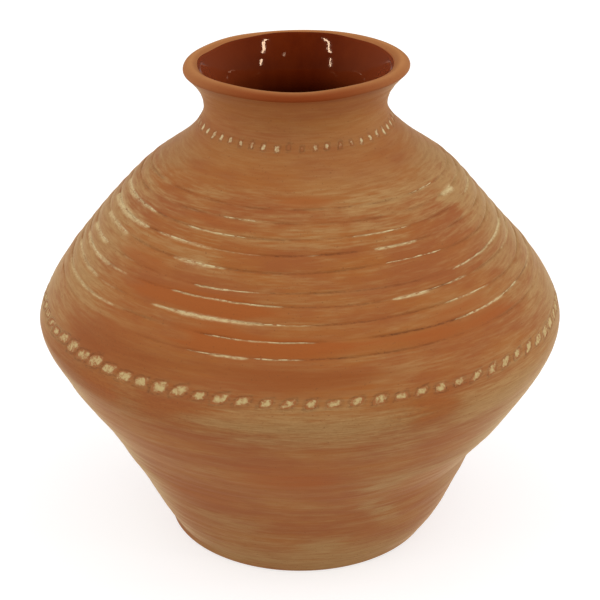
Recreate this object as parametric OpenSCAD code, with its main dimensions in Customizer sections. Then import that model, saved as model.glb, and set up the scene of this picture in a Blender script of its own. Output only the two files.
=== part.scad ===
// Terracotta vase: a hand-built jar turned about Z, standing on its flat foot at z = 0.
// Five clay sections are luted to each other, a glaze lines the inside, and pale slip
// lies in the stamped marks and in the scored lines of the shoulder.

/* [Heights] */
// Foot to the belly, which is the widest ring
lower_h = 149; // [125:1:175]
// Belly to the base of the neck
shoulder_h = 102; // [90:1:125]
// Base of the neck to the throat, which is the narrowest ring
neck_h = 31; // [26:1:45]
// Throat to the top of the lip
flare_h = 27; // [24:1:40]

/* [Outside diameters] */
// Foot, where the wall would meet the ground
foot_d = 172; // [150:1:210]
// Belly
belly_d = 330; // [300:1:370]
// Base of the neck
neck_base_d = 168; // [150:1:190]
// Throat
throat_d = 112; // [96:1:124]
// Lip
rim_d = 137; // [130:1:156]

/* [Curves] */
// Lean of the wall at the foot, outwards from upright
foot_lean = 24.5; // [18:0.5:32]
// Length of the run above the foot that keeps this lean
foot_run = 100; // [70:1:115]
// Fullness of the belly, below and above its widest ring
belly_round = 22; // [18:1:34]
// Lean of the wall at the base of the neck, inwards from upright
neck_lean = 58; // [48:1:66]
// Length of the run of shoulder that keeps this lean
shoulder_run = 16; // [8:1:40]
// Length of the run of neck that keeps this lean
neck_run = 9; // [4:0.5:14]
// Fullness of the throat, below and above its narrowest ring
throat_round = 11; // [7:0.5:14]
// Lean of the flare where it meets the lip, outwards from upright
lip_lean = 44; // [34:1:56]
// Length of the run of flare that keeps this lean
flare_run = 6; // [2:0.5:10]
// Rounding of the foot's outer edge
foot_round = 3; // [1:0.5:6]

/* [Walls] */
// Thickness of the clay wall
wall = 8; // [6.5:0.5:10]
// Width of the rolled lip, in level measure
lip_w = 9.6; // [8.4:0.2:11]
// Thickness of the rolled lip, in upright measure
lip_h = 6; // [5:0.2:8]
// Thickness of the floor
floor_t = 10; // [8:0.5:14]
// Radius of the inside corner at the floor
corner_r = 6; // [3:0.5:10]
// Thickness of the glaze
glaze_t = 0.8; // [0.4:0.1:1.4]
// Angle that the glaze climbs up the lip's inner side
glaze_climb = 8; // [2:1:40]

/* [Luted joints] */
// Thickness of the joining slip
lute_t = 1.2; // [0.6:0.1:2]
// Clay that closes over the joining slip on each face of the wall
lute_cover = 2; // [1.5:0.1:2.5]
// Diameter of the floor slab below its step
slab_d = 130; // [110:1:138]
// Width of the step that carries the floor slab
slab_lap = 8; // [5:0.5:11]
// Height of that step above the ground
slab_step = 4.5; // [3:0.5:5.5]

/* [Belly marks] */
// Number of marks round the belly
belly_mark_count = 80; // [48:1:90]
// Height of the marks above the widest ring
belly_mark_rise = 11.5; // [9:0.5:18]
// Width of a mark along the ring
belly_mark_w = 8; // [4:0.5:10]
// Height of a mark up the wall
belly_mark_h = 6; // [3:0.5:8]
// Depth of a mark
belly_mark_depth = 1.6; // [1:0.1:2.5]

/* [Neck marks] */
// Number of marks round the neck
neck_mark_count = 49; // [30:1:70]
// Depth of the marks below the throat
neck_mark_drop = 8.5; // [6:0.5:14]
// Width of a mark along the ring
neck_mark_w = 2.8; // [1.5:0.1:4]
// Height of a mark up the wall
neck_mark_h = 4.5; // [3:0.5:7]
// Depth of a mark
neck_mark_depth = 1.2; // [0.8:0.1:2]

/* [Scored lines] */
// Number of lines scored round the shoulder
line_count = 10; // [4:1:10]
// Height of the lowest line above the widest ring
line_rise = 32; // [26:0.5:36]
// Height left clear between the highest line and the base of the neck
line_gap = 3.4; // [2.6:0.1:8]
// Width of a line
line_w = 2.6; // [1.6:0.1:3.4]
// Depth of a line
line_depth = 1.2; // [0.6:0.1:2]

/* [Pale slip] */
// Thickness of the slip left in a mark
mark_slip_t = 0.5; // [0.3:0.1:0.7]
// Depth of the slip left in a line
line_slip_t = 0.7; // [0.3:0.1:1]

/* [Hidden] */
$fn = 96;

// Colours of the fired clay, the unwashed lip, the joining slip, the glaze and the pale slip
clay = "#a9693d";
bare_clay = "#a4562a";
lute_clay = "#8d5732";
glaze = "#5a1f0c";
pale_slip = "#c9b07c";

// The camera's side of the vase faces -Y, so angles along a ring are counted from there
front = -90;
// How far a cutter reaches out of the wall
reach = 3;
// Points along each curve of the half-section, and along each small arc
lower_steps = 22;
shoulder_steps = 26;
neck_steps = 10;
arc_steps = 8;
lip_steps = 24;
// Points in a table that turns a height into a place on a curve
table_steps = 80;

// How far a hand-scored line strays upwards from an even spacing, as a share of that spacing
line_stray_shares = [0, 0.07, 0.07, 0.2, 0, 0.2, 0.2, 0.14, 0.07, -0.07];
// Pale slip that stayed in the scored lines: [line, start, end], with both ends in degrees
// from the front, towards +X
slip_run_angles = [
    [0, -25, 0], [0, 112, 140], [0, 205, 228], [1, -22, 2], [1, 38, 66], [1, 150, 186],
    [2, -36, 2], [2, 38, 54], [2, 122, 144], [2, 238, 262], [3, -80, -64], [3, -33, -4],
    [3, 24, 48], [3, 165, 200], [4, -77, -66], [4, -28, -10], [4, 46, 84], [4, 214, 240],
    [5, -70, -60], [5, -36, -22], [5, 25, 45], [5, 128, 160], [6, -82, -52], [6, -47, -34],
    [6, 23, 38], [6, 186, 212], [7, -84, -53], [7, -38, -17], [7, 17, 37], [7, 140, 168],
    [8, -27, -14], [8, 100, 122], [8, 222, 250], [9, 45, 60], [9, 172, 190]
];

// A unit step that leans outwards from upright
function step(lean) = [sin(lean), cos(lean)];
// The unit step out of a wall that leans like that
function outward(lean) = [cos(lean), -sin(lean)];
// A point on a cubic curve of four control points
function curve_point(c, t) =
    pow(1 - t, 3) * c[0] + 3 * pow(1 - t, 2) * t * c[1] + 3 * (1 - t) * t * t * c[2] + t * t * t * c[3];
// The curve's lean at that place, outwards from upright
function curve_lean(c, t) =
    let (d = pow(1 - t, 2) * (c[1] - c[0]) + 2 * (1 - t) * t * (c[2] - c[1]) + t * t * (c[3] - c[2]))
    atan2(d.x, d.y);
// A point that lies a given depth inside the wall
function inset_point(c, t, depth) = curve_point(c, t) - depth * outward(curve_lean(c, t));
// Points up a curve, with the depth running evenly from one end to the other
function inset_run(c, steps, from_depth, to_depth, start = 0) =
    [for (i = [0:steps]) let (s = i / steps, t = start + (1 - start) * s)
        inset_point(c, t, from_depth + (to_depth - from_depth) * s)];
// The place on a rising curve that has a given height
function place_at(c, height) =
    lookup(height, [for (i = [0:table_steps]) [curve_point(c, i / table_steps).y, i / table_steps]]);
// Points along an arc
function arc(centre, radius, from_angle, to_angle) =
    [for (i = [0:arc_steps]) let (a = from_angle + (to_angle - from_angle) * i / arc_steps)
        centre + radius * [cos(a), sin(a)]];
function reversed(points) = [for (i = [len(points) - 1:-1:0]) points[i]];

// Heights and named points of the outer half-section
belly_z = lower_h;
neck_base_z = belly_z + shoulder_h;
throat_z = neck_base_z + neck_h;
height = throat_z + flare_h;
foot_arc_centre = [foot_d / 2 - foot_round * (1 - sin(foot_lean)) / cos(foot_lean), foot_round];
foot = foot_arc_centre + foot_round * outward(foot_lean);
belly = [belly_d / 2, belly_z];
neck_base = [neck_base_d / 2, neck_base_z];
throat = [throat_d / 2, throat_z];
lip_centre = [(rim_d - lip_w) / 2, height - lip_h / 2];

// The lip is the upper half of an ellipse. Its seat runs through the ellipse's centre, between the
// two places where the ellipse leans like the flare.
lip_turn = atan(tan(lip_lean) * lip_h / lip_w);
function lip_point(a) = lip_centre + [lip_w / 2 * cos(a), lip_h / 2 * sin(a)];
function lip_normal(a) = let (n = [cos(a) / lip_w, sin(a) / lip_h]) n / norm(n);
lip_seat = lip_point(-lip_turn);
lip_seat_inside = lip_point(180 - lip_turn);
seat_lean = atan2(lip_seat_inside.y - lip_seat.y, lip_seat.x - lip_seat_inside.x);
seat_w = norm(lip_seat - lip_seat_inside);

// Even step in height from scored line to scored line
line_pitch = (shoulder_h - line_rise - line_gap) / (line_count - 1);

// The four curves of the outside, from the foot to the lip
lower_curve = [foot, foot + foot_run * step(foot_lean), belly - [0, belly_round], belly];
shoulder_curve = [belly, belly + [0, belly_round], neck_base - shoulder_run * step(-neck_lean), neck_base];
neck_curve = [neck_base, neck_base + neck_run * step(-neck_lean), throat - [0, throat_round], throat];
flare_curve = [throat, throat + [0, throat_round], lip_seat - flare_run * step(lip_lean), lip_seat];
// The flare's inside, from the throat to the lip's inner edge
throat_inside = throat - [wall, 0];
flare_inside_curve = [throat_inside, throat_inside + [0, throat_round],
                      lip_seat_inside - flare_run * step(lip_lean), lip_seat_inside];

// Where the inside corner's arc leaves the wall, and the arc's centre
corner_t = lookup(floor_t + corner_r, [for (i = [0:table_steps]) let (t = i / table_steps)
    [inset_point(lower_curve, t, wall).y + corner_r * sin(curve_lean(lower_curve, t)), t]]);
corner_lean = curve_lean(lower_curve, corner_t);
corner_centre = inset_point(lower_curve, corner_t, wall) - corner_r * outward(corner_lean);

slab_r = slab_d / 2;
seat_r = slab_r + slab_lap;
seat_z = slab_step + lute_t;

// The inside of each stretch of wall, at a given depth under its clay face
function corner_inside(depth) = arc(corner_centre, corner_r - depth, -90, -corner_lean);
function lower_inside(depth) = inset_run(lower_curve, lower_steps, wall + depth, wall + depth, corner_t);
function shoulder_inside(depth) = inset_run(shoulder_curve, shoulder_steps, wall + depth, wall + depth);
function neck_inside(depth) = concat(
    inset_run(neck_curve, neck_steps, wall + depth, wall + depth),
    inset_run(flare_inside_curve, neck_steps, depth, depth));
function lip_inside(depth) = [for (i = [1:arc_steps]) let (a = 180 - lip_turn - glaze_climb * i / arc_steps)
    lip_point(a) + depth * lip_normal(a)];
function whole_inside(depth) = concat(
    corner_inside(depth), lower_inside(depth), shoulder_inside(depth), neck_inside(depth), lip_inside(depth));

// Half-section of the joining slip across a wall that leans like that
function lute_section(seam, lean, thickness) =
    let (out = outward(lean), up = lute_t / 2 * step(lean),
         near = seam - lute_cover * out, far = seam - (thickness - lute_cover) * out)
    [near - up, near + up, far + up, far - up];

// Half-section of one scored line, or of the slip in its lower part
function line_section(i, share) =
    let (t = place_at(shoulder_curve, belly_z + line_rise + (i + line_stray_shares[i]) * line_pitch),
         lean = curve_lean(shoulder_curve, t),
         out = outward(lean), up = line_w / 2 * step(lean),
         face = curve_point(shoulder_curve, t),
         bottom = face - line_depth * out,
         top = bottom + share * line_depth * out)
    [bottom, top + share * up, top - share * up];

module turned(section) {
    rotate_extrude() polygon(section);
}

// Places its children on the wall, at equal steps round the axis, with +X out of the wall
module ring_of(curve, ring_z, count) {
    t = place_at(curve, ring_z);
    face = curve_point(curve, t);
    for (i = [0:count - 1])
        rotate([0, 0, front + (i + 0.5) * 360 / count])
            translate([face.x, 0, face.y])
                rotate([0, curve_lean(curve, t), 0])
                    children();
}

// A block that reaches from one depth under the face to another, measured outwards
module stamp(width, tall, from_x, to_x) {
    translate([from_x, -width / 2, -tall / 2]) cube([to_x - from_x, width, tall]);
}

module belly_stamps(from_x, to_x) {
    ring_of(shoulder_curve, belly_z + belly_mark_rise, belly_mark_count)
        stamp(belly_mark_w, belly_mark_h, from_x, to_x);
}

module neck_stamps(from_x, to_x) {
    ring_of(neck_curve, throat_z - neck_mark_drop, neck_mark_count)
        stamp(neck_mark_w, neck_mark_h, from_x, to_x);
}

// Round floor, dropped in from above on to the wall's step
module floor_slab() {
    color(clay) turned([[0, 0], [slab_r, 0], [slab_r, seat_z], [seat_r, seat_z], [seat_r, floor_t], [0, floor_t]]);
}

// Bowl from the foot to the belly
module lower_wall() {
    outside = concat(
        arc(foot_arc_centre, foot_round, -90, -foot_lean),
        inset_run(lower_curve, lower_steps, 0, 0));
    inside = concat(corner_inside(0), lower_inside(0));
    step_below = [[seat_r, floor_t], [seat_r, slab_step], [slab_r, slab_step], [slab_r, 0]];
    color(clay) rotate_extrude() difference() {
        polygon(concat(outside, reversed(inside), step_below));
        polygon(lute_section(belly, 0, wall));
    }
}

// Cone from the belly to the neck, scored and stamped on its outside
module shoulder_wall() {
    section = concat(inset_run(shoulder_curve, shoulder_steps, 0, 0), reversed(shoulder_inside(0)));
    color(clay) difference() {
        rotate_extrude() difference() {
            polygon(section);
            polygon(lute_section(belly, 0, wall));
            polygon(lute_section(neck_base, -neck_lean, wall));
            for (i = [0:line_count - 1]) polygon(line_cut(i));
        }
        belly_stamps(-belly_mark_depth, reach);
    }
}

// A scored line's cutter, which keeps its slope until it is clear of the wall
function line_cut(i) = line_section(i, 2);

// Collar through the throat to the flare, stamped below the throat
module neck_collar() {
    outside = concat(
        inset_run(neck_curve, neck_steps, 0, 0),
        inset_run(flare_curve, neck_steps, 0, 0));
    color(clay) difference() {
        rotate_extrude() difference() {
            polygon(concat(outside, reversed(neck_inside(0))));
            polygon(lute_section(neck_base, -neck_lean, wall));
            polygon(lute_section(lip_seat, seat_lean, seat_w));
        }
        neck_stamps(-neck_mark_depth, reach);
    }
}

// Rolled lip, a flattened coil on the collar's upper edge
module rim_coil() {
    color(bare_clay) rotate_extrude() difference() {
        polygon([for (i = [0:lip_steps]) lip_point(180 * i / lip_steps - lip_turn)]);
        polygon(lute_section(lip_seat, seat_lean, seat_w));
    }
}

// Joining slip, one bed or ring for each joint
module floor_lute() {
    color(lute_clay) turned([[slab_r, slab_step], [seat_r, slab_step], [seat_r, seat_z], [slab_r, seat_z]]);
}

module belly_lute() {
    color(lute_clay) turned(lute_section(belly, 0, wall));
}

module neck_lute() {
    color(lute_clay) turned(lute_section(neck_base, -neck_lean, wall));
}

module rim_lute() {
    color(lute_clay) turned(lute_section(lip_seat, seat_lean, seat_w));
}

// Glaze over the whole inside, from the floor to a little way up the lip
module glaze_lining() {
    color(glaze) turned(concat(
        [[0, floor_t]], whole_inside(0), reversed(whole_inside(glaze_t)), [[0, floor_t + glaze_t]]));
}

// Pale slip at the bottom of the stamped marks
module belly_mark_slip() {
    color(pale_slip) belly_stamps(-belly_mark_depth, mark_slip_t - belly_mark_depth);
}

module neck_mark_slip() {
    color(pale_slip) neck_stamps(-neck_mark_depth, mark_slip_t - neck_mark_depth);
}

// Pale slip in stretches of the scored lines
module line_slip() {
    color(pale_slip) for (run = slip_run_angles)
        if (run[0] < line_count)
            rotate([0, 0, front + run[1]])
                rotate_extrude(angle = run[2] - run[1])
                    polygon(line_section(run[0], line_slip_t / line_depth));
}

floor_slab();
lower_wall();
shoulder_wall();
neck_collar();
rim_coil();
floor_lute();
belly_lute();
neck_lute();
rim_lute();
glaze_lining();
belly_mark_slip();
neck_mark_slip();
line_slip();
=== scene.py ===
# %% [markdown]
# # A terracotta vase
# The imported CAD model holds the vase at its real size: a floor, three rings of clay wall, a rolled
# lip, the joining slip between them, the glaze inside and the pale slip in its marks. This lesson
# gives each of them the surface that hands, tools and fire left on it. Every new piece is worked out
# from the same curves as the CAD part, so the sizes stay as they are.

import bpy
import numpy as np
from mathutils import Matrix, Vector


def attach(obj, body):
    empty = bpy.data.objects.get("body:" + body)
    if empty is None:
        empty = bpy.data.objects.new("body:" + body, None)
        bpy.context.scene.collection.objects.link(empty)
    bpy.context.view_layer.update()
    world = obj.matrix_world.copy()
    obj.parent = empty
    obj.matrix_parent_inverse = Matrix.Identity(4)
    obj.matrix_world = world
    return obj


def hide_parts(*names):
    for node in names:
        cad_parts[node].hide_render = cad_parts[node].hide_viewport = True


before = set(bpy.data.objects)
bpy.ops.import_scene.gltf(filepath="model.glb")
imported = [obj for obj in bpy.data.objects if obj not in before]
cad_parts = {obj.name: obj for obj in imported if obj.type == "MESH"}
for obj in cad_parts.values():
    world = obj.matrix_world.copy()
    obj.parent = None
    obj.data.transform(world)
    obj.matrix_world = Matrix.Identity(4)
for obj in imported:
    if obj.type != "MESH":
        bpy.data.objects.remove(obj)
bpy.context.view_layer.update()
print("CAD nodes:", sorted(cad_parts))

# %% [markdown]
# ## The camera
# The photograph looks down into the mouth a little. The angle and the distance come from a fit of
# the vase's outline and its two rings of marks: about 24 degrees above level, a metre away, with a
# short telephoto lens.

# %% Camera
AIM = Vector((0.0, 0.0, 0.150))
ELEVATION = np.radians(24.35)
DISTANCE = 1.030
LENS_MM, SENSOR_MM = 96.0, 36.0

lens = bpy.data.cameras.new("camera")
lens.lens = LENS_MM
lens.sensor_width = SENSOR_MM
camera = bpy.data.objects.new("camera", lens)
bpy.context.collection.objects.link(camera)
camera.location = AIM + DISTANCE * Vector((0.0, -np.cos(ELEVATION), np.sin(ELEVATION)))
camera.rotation_euler = (AIM - camera.location).to_track_quat("-Z", "Y").to_euler()
bpy.context.scene.camera = camera
print("camera at", [round(x, 3) for x in camera.location])

# %% [markdown]
# ## The outline
# A pot on a wheel is a line turned about an axis. This line has six stretches: the rounded foot, the
# bowl, the shoulder, the neck, the flare and the rolled lip. Four of them are Bezier curves and two
# are arcs, one of a circle and one of an ellipse, because the lip was pressed flat. They could be
# drawn with curve objects, but as an array the line can be asked for a point and a direction at any
# distance along it, and every piece below does that. Lengths are in millimetres until a mesh is made.

# %% Sizes and curves
BELLY_R, BELLY_Z = 165.0, 149.0
NECK_R, NECK_Z = 84.0, 251.0
THROAT_R, THROAT_Z = 56.0, 282.0
RIM_R, TOP_Z = 68.5, 309.0
FOOT_R, FOOT_ROUND = 86.0, 3.0
LIP_W, LIP_H = 9.6, 6.0
WALL = 8.0
FOOT_LEAN, NECK_LEAN, LIP_LEAN = np.radians([24.5, -58.0, 44.0])
# Lengths of the curves' handles
FOOT_HANDLE, BELLY_HANDLE, THROAT_HANDLE, LIP_HANDLE = 100.0, 22.0, 11.0, 6.0
NECK_HANDLE_BELOW, NECK_HANDLE_ABOVE = 16.0, 9.0


def lean_step(lean):
    """Unit step in (radius, height) that leans outwards from upright: (sin, cos) of the lean."""
    return np.array([np.sin(lean), np.cos(lean)])


def lean_out(lean):
    """Unit step out of a wall with that lean: the lean's own step, turned a quarter clockwise."""
    return np.array([np.cos(lean), -np.sin(lean)])


def bezier(a, b, c, d, count=400):
    """Cubic Bezier curve: four points weighted by the terms of ((1 - t) + t) cubed."""
    t = np.linspace(0.0, 1.0, count)[:, None]
    return (1 - t) ** 3 * a + 3 * (1 - t) ** 2 * t * b + 3 * (1 - t) * t ** 2 * c + t ** 3 * d


def arc(centre, half_w, half_h, start, end, count=120):
    """Arc of an ellipse: the centre plus (half width x cos, half height x sin) of an evenly stepped angle."""
    a = np.linspace(start, end, count)[:, None]
    return centre + np.hstack([half_w * np.cos(a), half_h * np.sin(a)])


foot_centre = np.array([FOOT_R - FOOT_ROUND * (1 - np.sin(FOOT_LEAN)) / np.cos(FOOT_LEAN), FOOT_ROUND])
foot = foot_centre + FOOT_ROUND * lean_out(FOOT_LEAN)
belly = np.array([BELLY_R, BELLY_Z])
neck = np.array([NECK_R, NECK_Z])
throat = np.array([THROAT_R, THROAT_Z])
lip_centre = np.array([RIM_R - LIP_W / 2, TOP_Z - LIP_H / 2])
LIP_TURN = np.arctan(np.tan(LIP_LEAN) * LIP_H / LIP_W)
lip_arc = arc(lip_centre, LIP_W / 2, LIP_H / 2, -LIP_TURN, np.pi - LIP_TURN)
lip_seat, lip_seat_inside = lip_arc[0], lip_arc[-1]
up = np.array([0.0, 1.0])
print("lip's seat at radius and height, mm:", np.round(lip_seat, 1))

# %% The outline as one line
stretches = [
    arc(foot_centre, FOOT_ROUND, FOOT_ROUND, -np.pi / 2, -FOOT_LEAN),
    bezier(foot, foot + FOOT_HANDLE * lean_step(FOOT_LEAN), belly - BELLY_HANDLE * up, belly),
    bezier(belly, belly + BELLY_HANDLE * up, neck - NECK_HANDLE_BELOW * lean_step(NECK_LEAN), neck),
    bezier(neck, neck + NECK_HANDLE_ABOVE * lean_step(NECK_LEAN), throat - THROAT_HANDLE * up, throat),
    bezier(throat, throat + THROAT_HANDLE * up, lip_seat - LIP_HANDLE * lean_step(LIP_LEAN), lip_seat),
    lip_arc,
]
outline = np.vstack([stretches[0]] + [points[1:] for points in stretches[1:]])
along = np.concatenate([[0.0], np.cumsum(np.hypot(*np.diff(outline, axis=0).T))])
ends = np.cumsum([np.hypot(*np.diff(points, axis=0).T).sum() for points in stretches])
S_FOOT, S_BELLY, S_NECK, S_THROAT, S_SEAT, S_LIP = ends
tangent = np.gradient(outline, along, axis=0)
tangent /= np.linalg.norm(tangent, axis=1)[:, None]


def outline_at(s):
    """Radius, height and outward direction of the outline at distances s, read off its table."""
    r = np.interp(s, along, outline[:, 0])
    z = np.interp(s, along, outline[:, 1])
    tr = np.interp(s, along, tangent[:, 0])
    tz = np.interp(s, along, tangent[:, 1])
    size = np.hypot(tr, tz)
    return r, z, tz / size, -tr / size


def distance_at(height):
    """Distance along the outside where it has that height, from the part of the table that rises."""
    rising = along <= S_SEAT
    return np.interp(height, outline[rising, 1], along[rising])


print("distance along the outline to each stretch's end, mm:", np.round(ends, 1))

# %% [markdown]
# ## What the hand leaves
# A hand-built pot is never true. Its neck stands a few millimetres to one side, its rim dips to the
# left and to the front and swells on both sides of the front, and its flanks are fuller in some
# places and pressed in where they were held. A Lattice modifier could do this, but a formula keeps
# all the pieces together, because each point moves only by where it is. Smaller unevenness is a sum
# of cosines with whole turns round the axis, so that it closes on itself.

# %% The hand's wobble
# Metres in a millimetre
METRES = 0.001
# How far each ring of the pot stands to the right, by height, both in mm
LEAN_HEIGHTS = np.array([0, 30, 60, 90, 115, 140, 165, 190, 205, 220, 245, 262, 272, 282, 295, 320], float)
LEAN_TO_RIGHT = np.array([
    1.3, 1.2, 0.6, 1.3, 0.9, 0.2, 0.1, 0.0, -0.7, -0.9, -0.1, -1.1, -2.4, -2.8, -2.3, -2.2])
RIM_TIP_X, RIM_TIP_Y = np.tan(np.radians([0.9, 1.35]))
# Where the rim swells up: rise in mm, middle and reach in degrees
RIM_SWELLS = [(1.2, -38.0, 24.0), (0.9, 36.0, 22.0)]
# Heights where the tip and the swells begin and are full, and up to which the foot stays true
TIP_FROM, SWELL_FROM, RIM_FULL, FOOT_TRUE = 240.0, 282.0, 303.0, 14.0


def smooth(low, high, x):
    """Smooth step: 0 below low, 1 above high, and 3t^2 - 2t^3 between."""
    t = np.clip((x - low) / (high - low), 0.0, 1.0)
    return t * t * (3 - 2 * t)


def bump(x, middle, reach):
    """Bell curve: exp of minus the square of the distance from the middle over the reach."""
    return np.exp(-((x - middle) / reach) ** 2)


def turn_gap(theta, middle):
    """Angle from a middle, the short way round, in degrees."""
    return (np.degrees(theta) - middle + 180.0) % 360.0 - 180.0


def wobble(radius, theta, height):
    """Point in metres: each ring shifts by its lean, and the rim tips as a plane and swells in bell curves.

    theta is counted from the front, -Y, towards +X. The foot stays flat."""
    lean = np.interp(height, LEAN_HEIGHTS, LEAN_TO_RIGHT) * smooth(0.0, FOOT_TRUE, height)
    x = radius * np.sin(theta) + lean
    y = -radius * np.cos(theta)
    swell = sum(rise * bump(turn_gap(theta, middle), 0.0, reach) for rise, middle, reach in RIM_SWELLS)
    tip = RIM_TIP_X * x + RIM_TIP_Y * y
    z = height + tip * smooth(TIP_FROM, RIM_FULL, height) + swell * smooth(SWELL_FROM, RIM_FULL, height)
    return np.stack(np.broadcast_arrays(x, y, z), axis=-1) * METRES


def ripple(theta, s, seed, waves, most_turns, shortest):
    """Unevenness of unit spread: a sum of cosines with whole turns round and random waves up the wall."""
    random = np.random.default_rng(seed)
    turns = random.integers(0, most_turns + 1, waves)
    pitch = random.uniform(-1.0, 1.0, waves) * 2 * np.pi / shortest
    phase = random.uniform(0.0, 2 * np.pi, waves)
    total = np.zeros(np.broadcast(theta, s).shape)
    for n, k, p in zip(turns, pitch, phase):
        total += np.cos(n * theta + k * s + p)
    return total * np.sqrt(2.0 / waves)


rim_dips = 2 * RIM_R * np.array([RIM_TIP_X, RIM_TIP_Y])
print("rim dips to the left and to the front by, mm:", np.round(rim_dips, 1))

# %% [markdown]
# ## Scored lines
# Ten lines were scored round the shoulder with a pointed stick while the pot turned. They stray a
# little, they are deep in places and nearly gone in others, and the stick threw up a small burr on
# each side. They could be sculpted, but here the mesh rows stray with the lines, so that each line
# always lies on rows of its own and stays sharp with few faces.

# %% Where the lines run and how deep they are
LINE_HEIGHTS = np.array([181, 189, 196.5, 204.5, 210.5, 219.5, 227, 234, 240.5, 247], float)
LINE_S = distance_at(LINE_HEIGHTS)
# Half the width and the full depth of a line, and how far from it the rows stray with it, in mm
LINE_HALF = 0.85
LINE_DEPTH = 0.55
LINE_REACH = 2.4
# Distance over the widest ring where the rows begin to stray
STRAY_FROM = 18.0


def line_stray(theta):
    """How far each line strays up the wall at each angle: a slow ripple of its own, one row a line."""
    rows = [0.45 * ripple(theta, 0.0, 40 + i, 5, 7, 50.0) + 0.05 * ripple(theta, 0.0, 80 + i, 12, 90, 50.0)
            for i in range(len(LINE_S))]
    return np.array(rows)


def line_depth(theta):
    """How deep each line is at each angle: mostly full, shallow where its ripple is low.

    The lowest line fades out at the left of the front."""
    waves = np.array([ripple(theta, 0.0, 60 + i, 9, 24, 50.0) for i in range(len(LINE_S))])
    shares = 0.25 + 0.75 * smooth(-1.1, 1.2, waves)
    shares[0] *= 1.0 - 0.85 * bump(turn_gap(theta, -54.0), 0.0, 26.0)
    return LINE_DEPTH * shares


def stray_at(s, theta):
    """Stray of any row: each line's own stray close to it, shared out evenly between two lines."""
    near = np.stack([LINE_S - LINE_REACH, LINE_S + LINE_REACH], 1).ravel()
    knots = np.concatenate([[S_BELLY + STRAY_FROM], near, [S_NECK]])
    share = np.zeros((len(s), len(LINE_S)))
    for i in range(len(LINE_S)):
        weight = np.zeros(len(knots))
        weight[2 * i + 1:2 * i + 3] = 1.0
        share[:, i] = np.interp(s, knots, weight)
    return share @ line_stray(theta)


def line_relief(offset, depth, crumbs):
    """Section of a scored line: a V with a rounded bottom, and on each side a low burr of crumbs."""
    d = np.abs(offset) / LINE_HALF
    groove = -depth * smooth(1.15, 0.0, d)
    burr = 0.28 * depth * crumbs * bump(d, 1.55, 0.5)
    return groove + burr


print("lines at distances, mm:", np.round(LINE_S, 1))

# %% [markdown]
# ## Stamped marks
# Two rings of marks were pressed in with the end of a stick: large squarish ones just above the
# widest ring, and small ones under the throat. Each push was a little different, so each mark has
# its own size, lean and depth. A mark is a superellipse, the shape between an ellipse and a
# rectangle, drawn out up to the right as the stick was held, and the clay it pushed aside stands up
# as a soft rim. Booleans could cut the marks, but one formula gives the marks, their rims and later
# the slip in them.

# %% Both rings of marks
class MarkRing:
    """One ring of stamped marks, with a random place, size, lean and depth for each mark.

    Lengths are in mm, and lean is a slope."""

    def __init__(self, seed, count, height, width, tall, depth, lean, jitter):
        """Draws each mark's own values round the ring's: the places even, the rest by shares or spreads."""
        random = np.random.default_rng(seed)
        self.count = count
        self.s = distance_at(height)
        self.radius = outline_at(self.s)[0]
        even = (np.arange(count) + 0.5) * 2 * np.pi / count
        self.theta = even + random.normal(0, jitter, count) / self.radius
        self.rise = random.normal(0, 0.35, count)
        self.half_w = width / 2 * random.uniform(0.82, 1.12, count)
        self.half_h = tall / 2 * random.uniform(0.85, 1.12, count)
        self.lean = random.normal(lean, 0.14, count)
        self.lift = 0.30 * self.lean
        self.depth = depth * random.uniform(0.75, 1.15, count)
        self.slip = np.ones(count)

    def level(self, theta, s):
        """Level of the nearest mark, and its number: the fourth root of u and v to the fourth power.

        u and v are shares of its half width and half height, so the level is 1 on its edge."""
        k = np.floor(theta * self.count / (2 * np.pi)).astype(int) % self.count
        across = ((theta - self.theta[k] + np.pi) % (2 * np.pi) - np.pi) * self.radius
        rise = s - self.s - self.rise[k]
        u = (across - rise * self.lean[k]) / self.half_w[k]
        v = (rise - across * self.lift[k]) / self.half_h[k]
        return (u ** 4 + v ** 4) ** 0.25, k

    def relief(self, theta, s):
        """Pressed-in pit with sloping sides, inside a low rim of pushed-up clay."""
        level, k = self.level(theta, s)
        return -self.depth[k] * smooth(1.12, 0.84, level) + 0.30 * self.depth[k] * bump(level, 1.38, 0.24)


belly_ring = MarkRing(
    seed=5, count=80, height=160.5, width=8.2, tall=5.0, depth=0.65, lean=0.42, jitter=0.35)
neck_ring = MarkRing(
    seed=9, count=49, height=273.6, width=2.8, tall=4.2, depth=0.45, lean=0.10, jitter=0.25)
# The marks at the left of the front were pressed harder, and come out larger.
harder = bump(turn_gap(belly_ring.theta, -48.0), 0.0, 26.0)
belly_ring.half_w *= 1.0 + 0.30 * harder
belly_ring.half_h *= 1.0 + 0.34 * harder
# Those from the middle to the right are smaller.
lighter = bump(turn_gap(belly_ring.theta, 36.0), 0.0, 46.0)
belly_ring.half_w *= 1.0 - 0.16 * lighter
belly_ring.half_h *= 1.0 - 0.14 * lighter
# Those in the middle, at the far left and at the right were rubbed more, and lost much of their slip.
belly_ring.slip -= 0.22 * bump(turn_gap(belly_ring.theta, -4.0), 0.0, 24.0)
belly_ring.slip -= 0.24 * bump(turn_gap(belly_ring.theta, -68.0), 0.0, 24.0)
belly_ring.slip -= 0.14 * bump(turn_gap(belly_ring.theta, 36.0), 0.0, 20.0)
# The neck's marks lost most at the front, each by an amount of its own.
neck_ring.slip -= 0.55 * bump(turn_gap(neck_ring.theta, 2.0), 0.0, 38.0)
neck_ring.slip += 0.14 * ripple(neck_ring.theta, 0.0, 91, 8, 48, 50.0)
neck_ring.slip = np.clip(neck_ring.slip, 0.2, 1.0)
print("marks:", belly_ring.count, "round the belly and", neck_ring.count, "round the neck")

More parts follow.
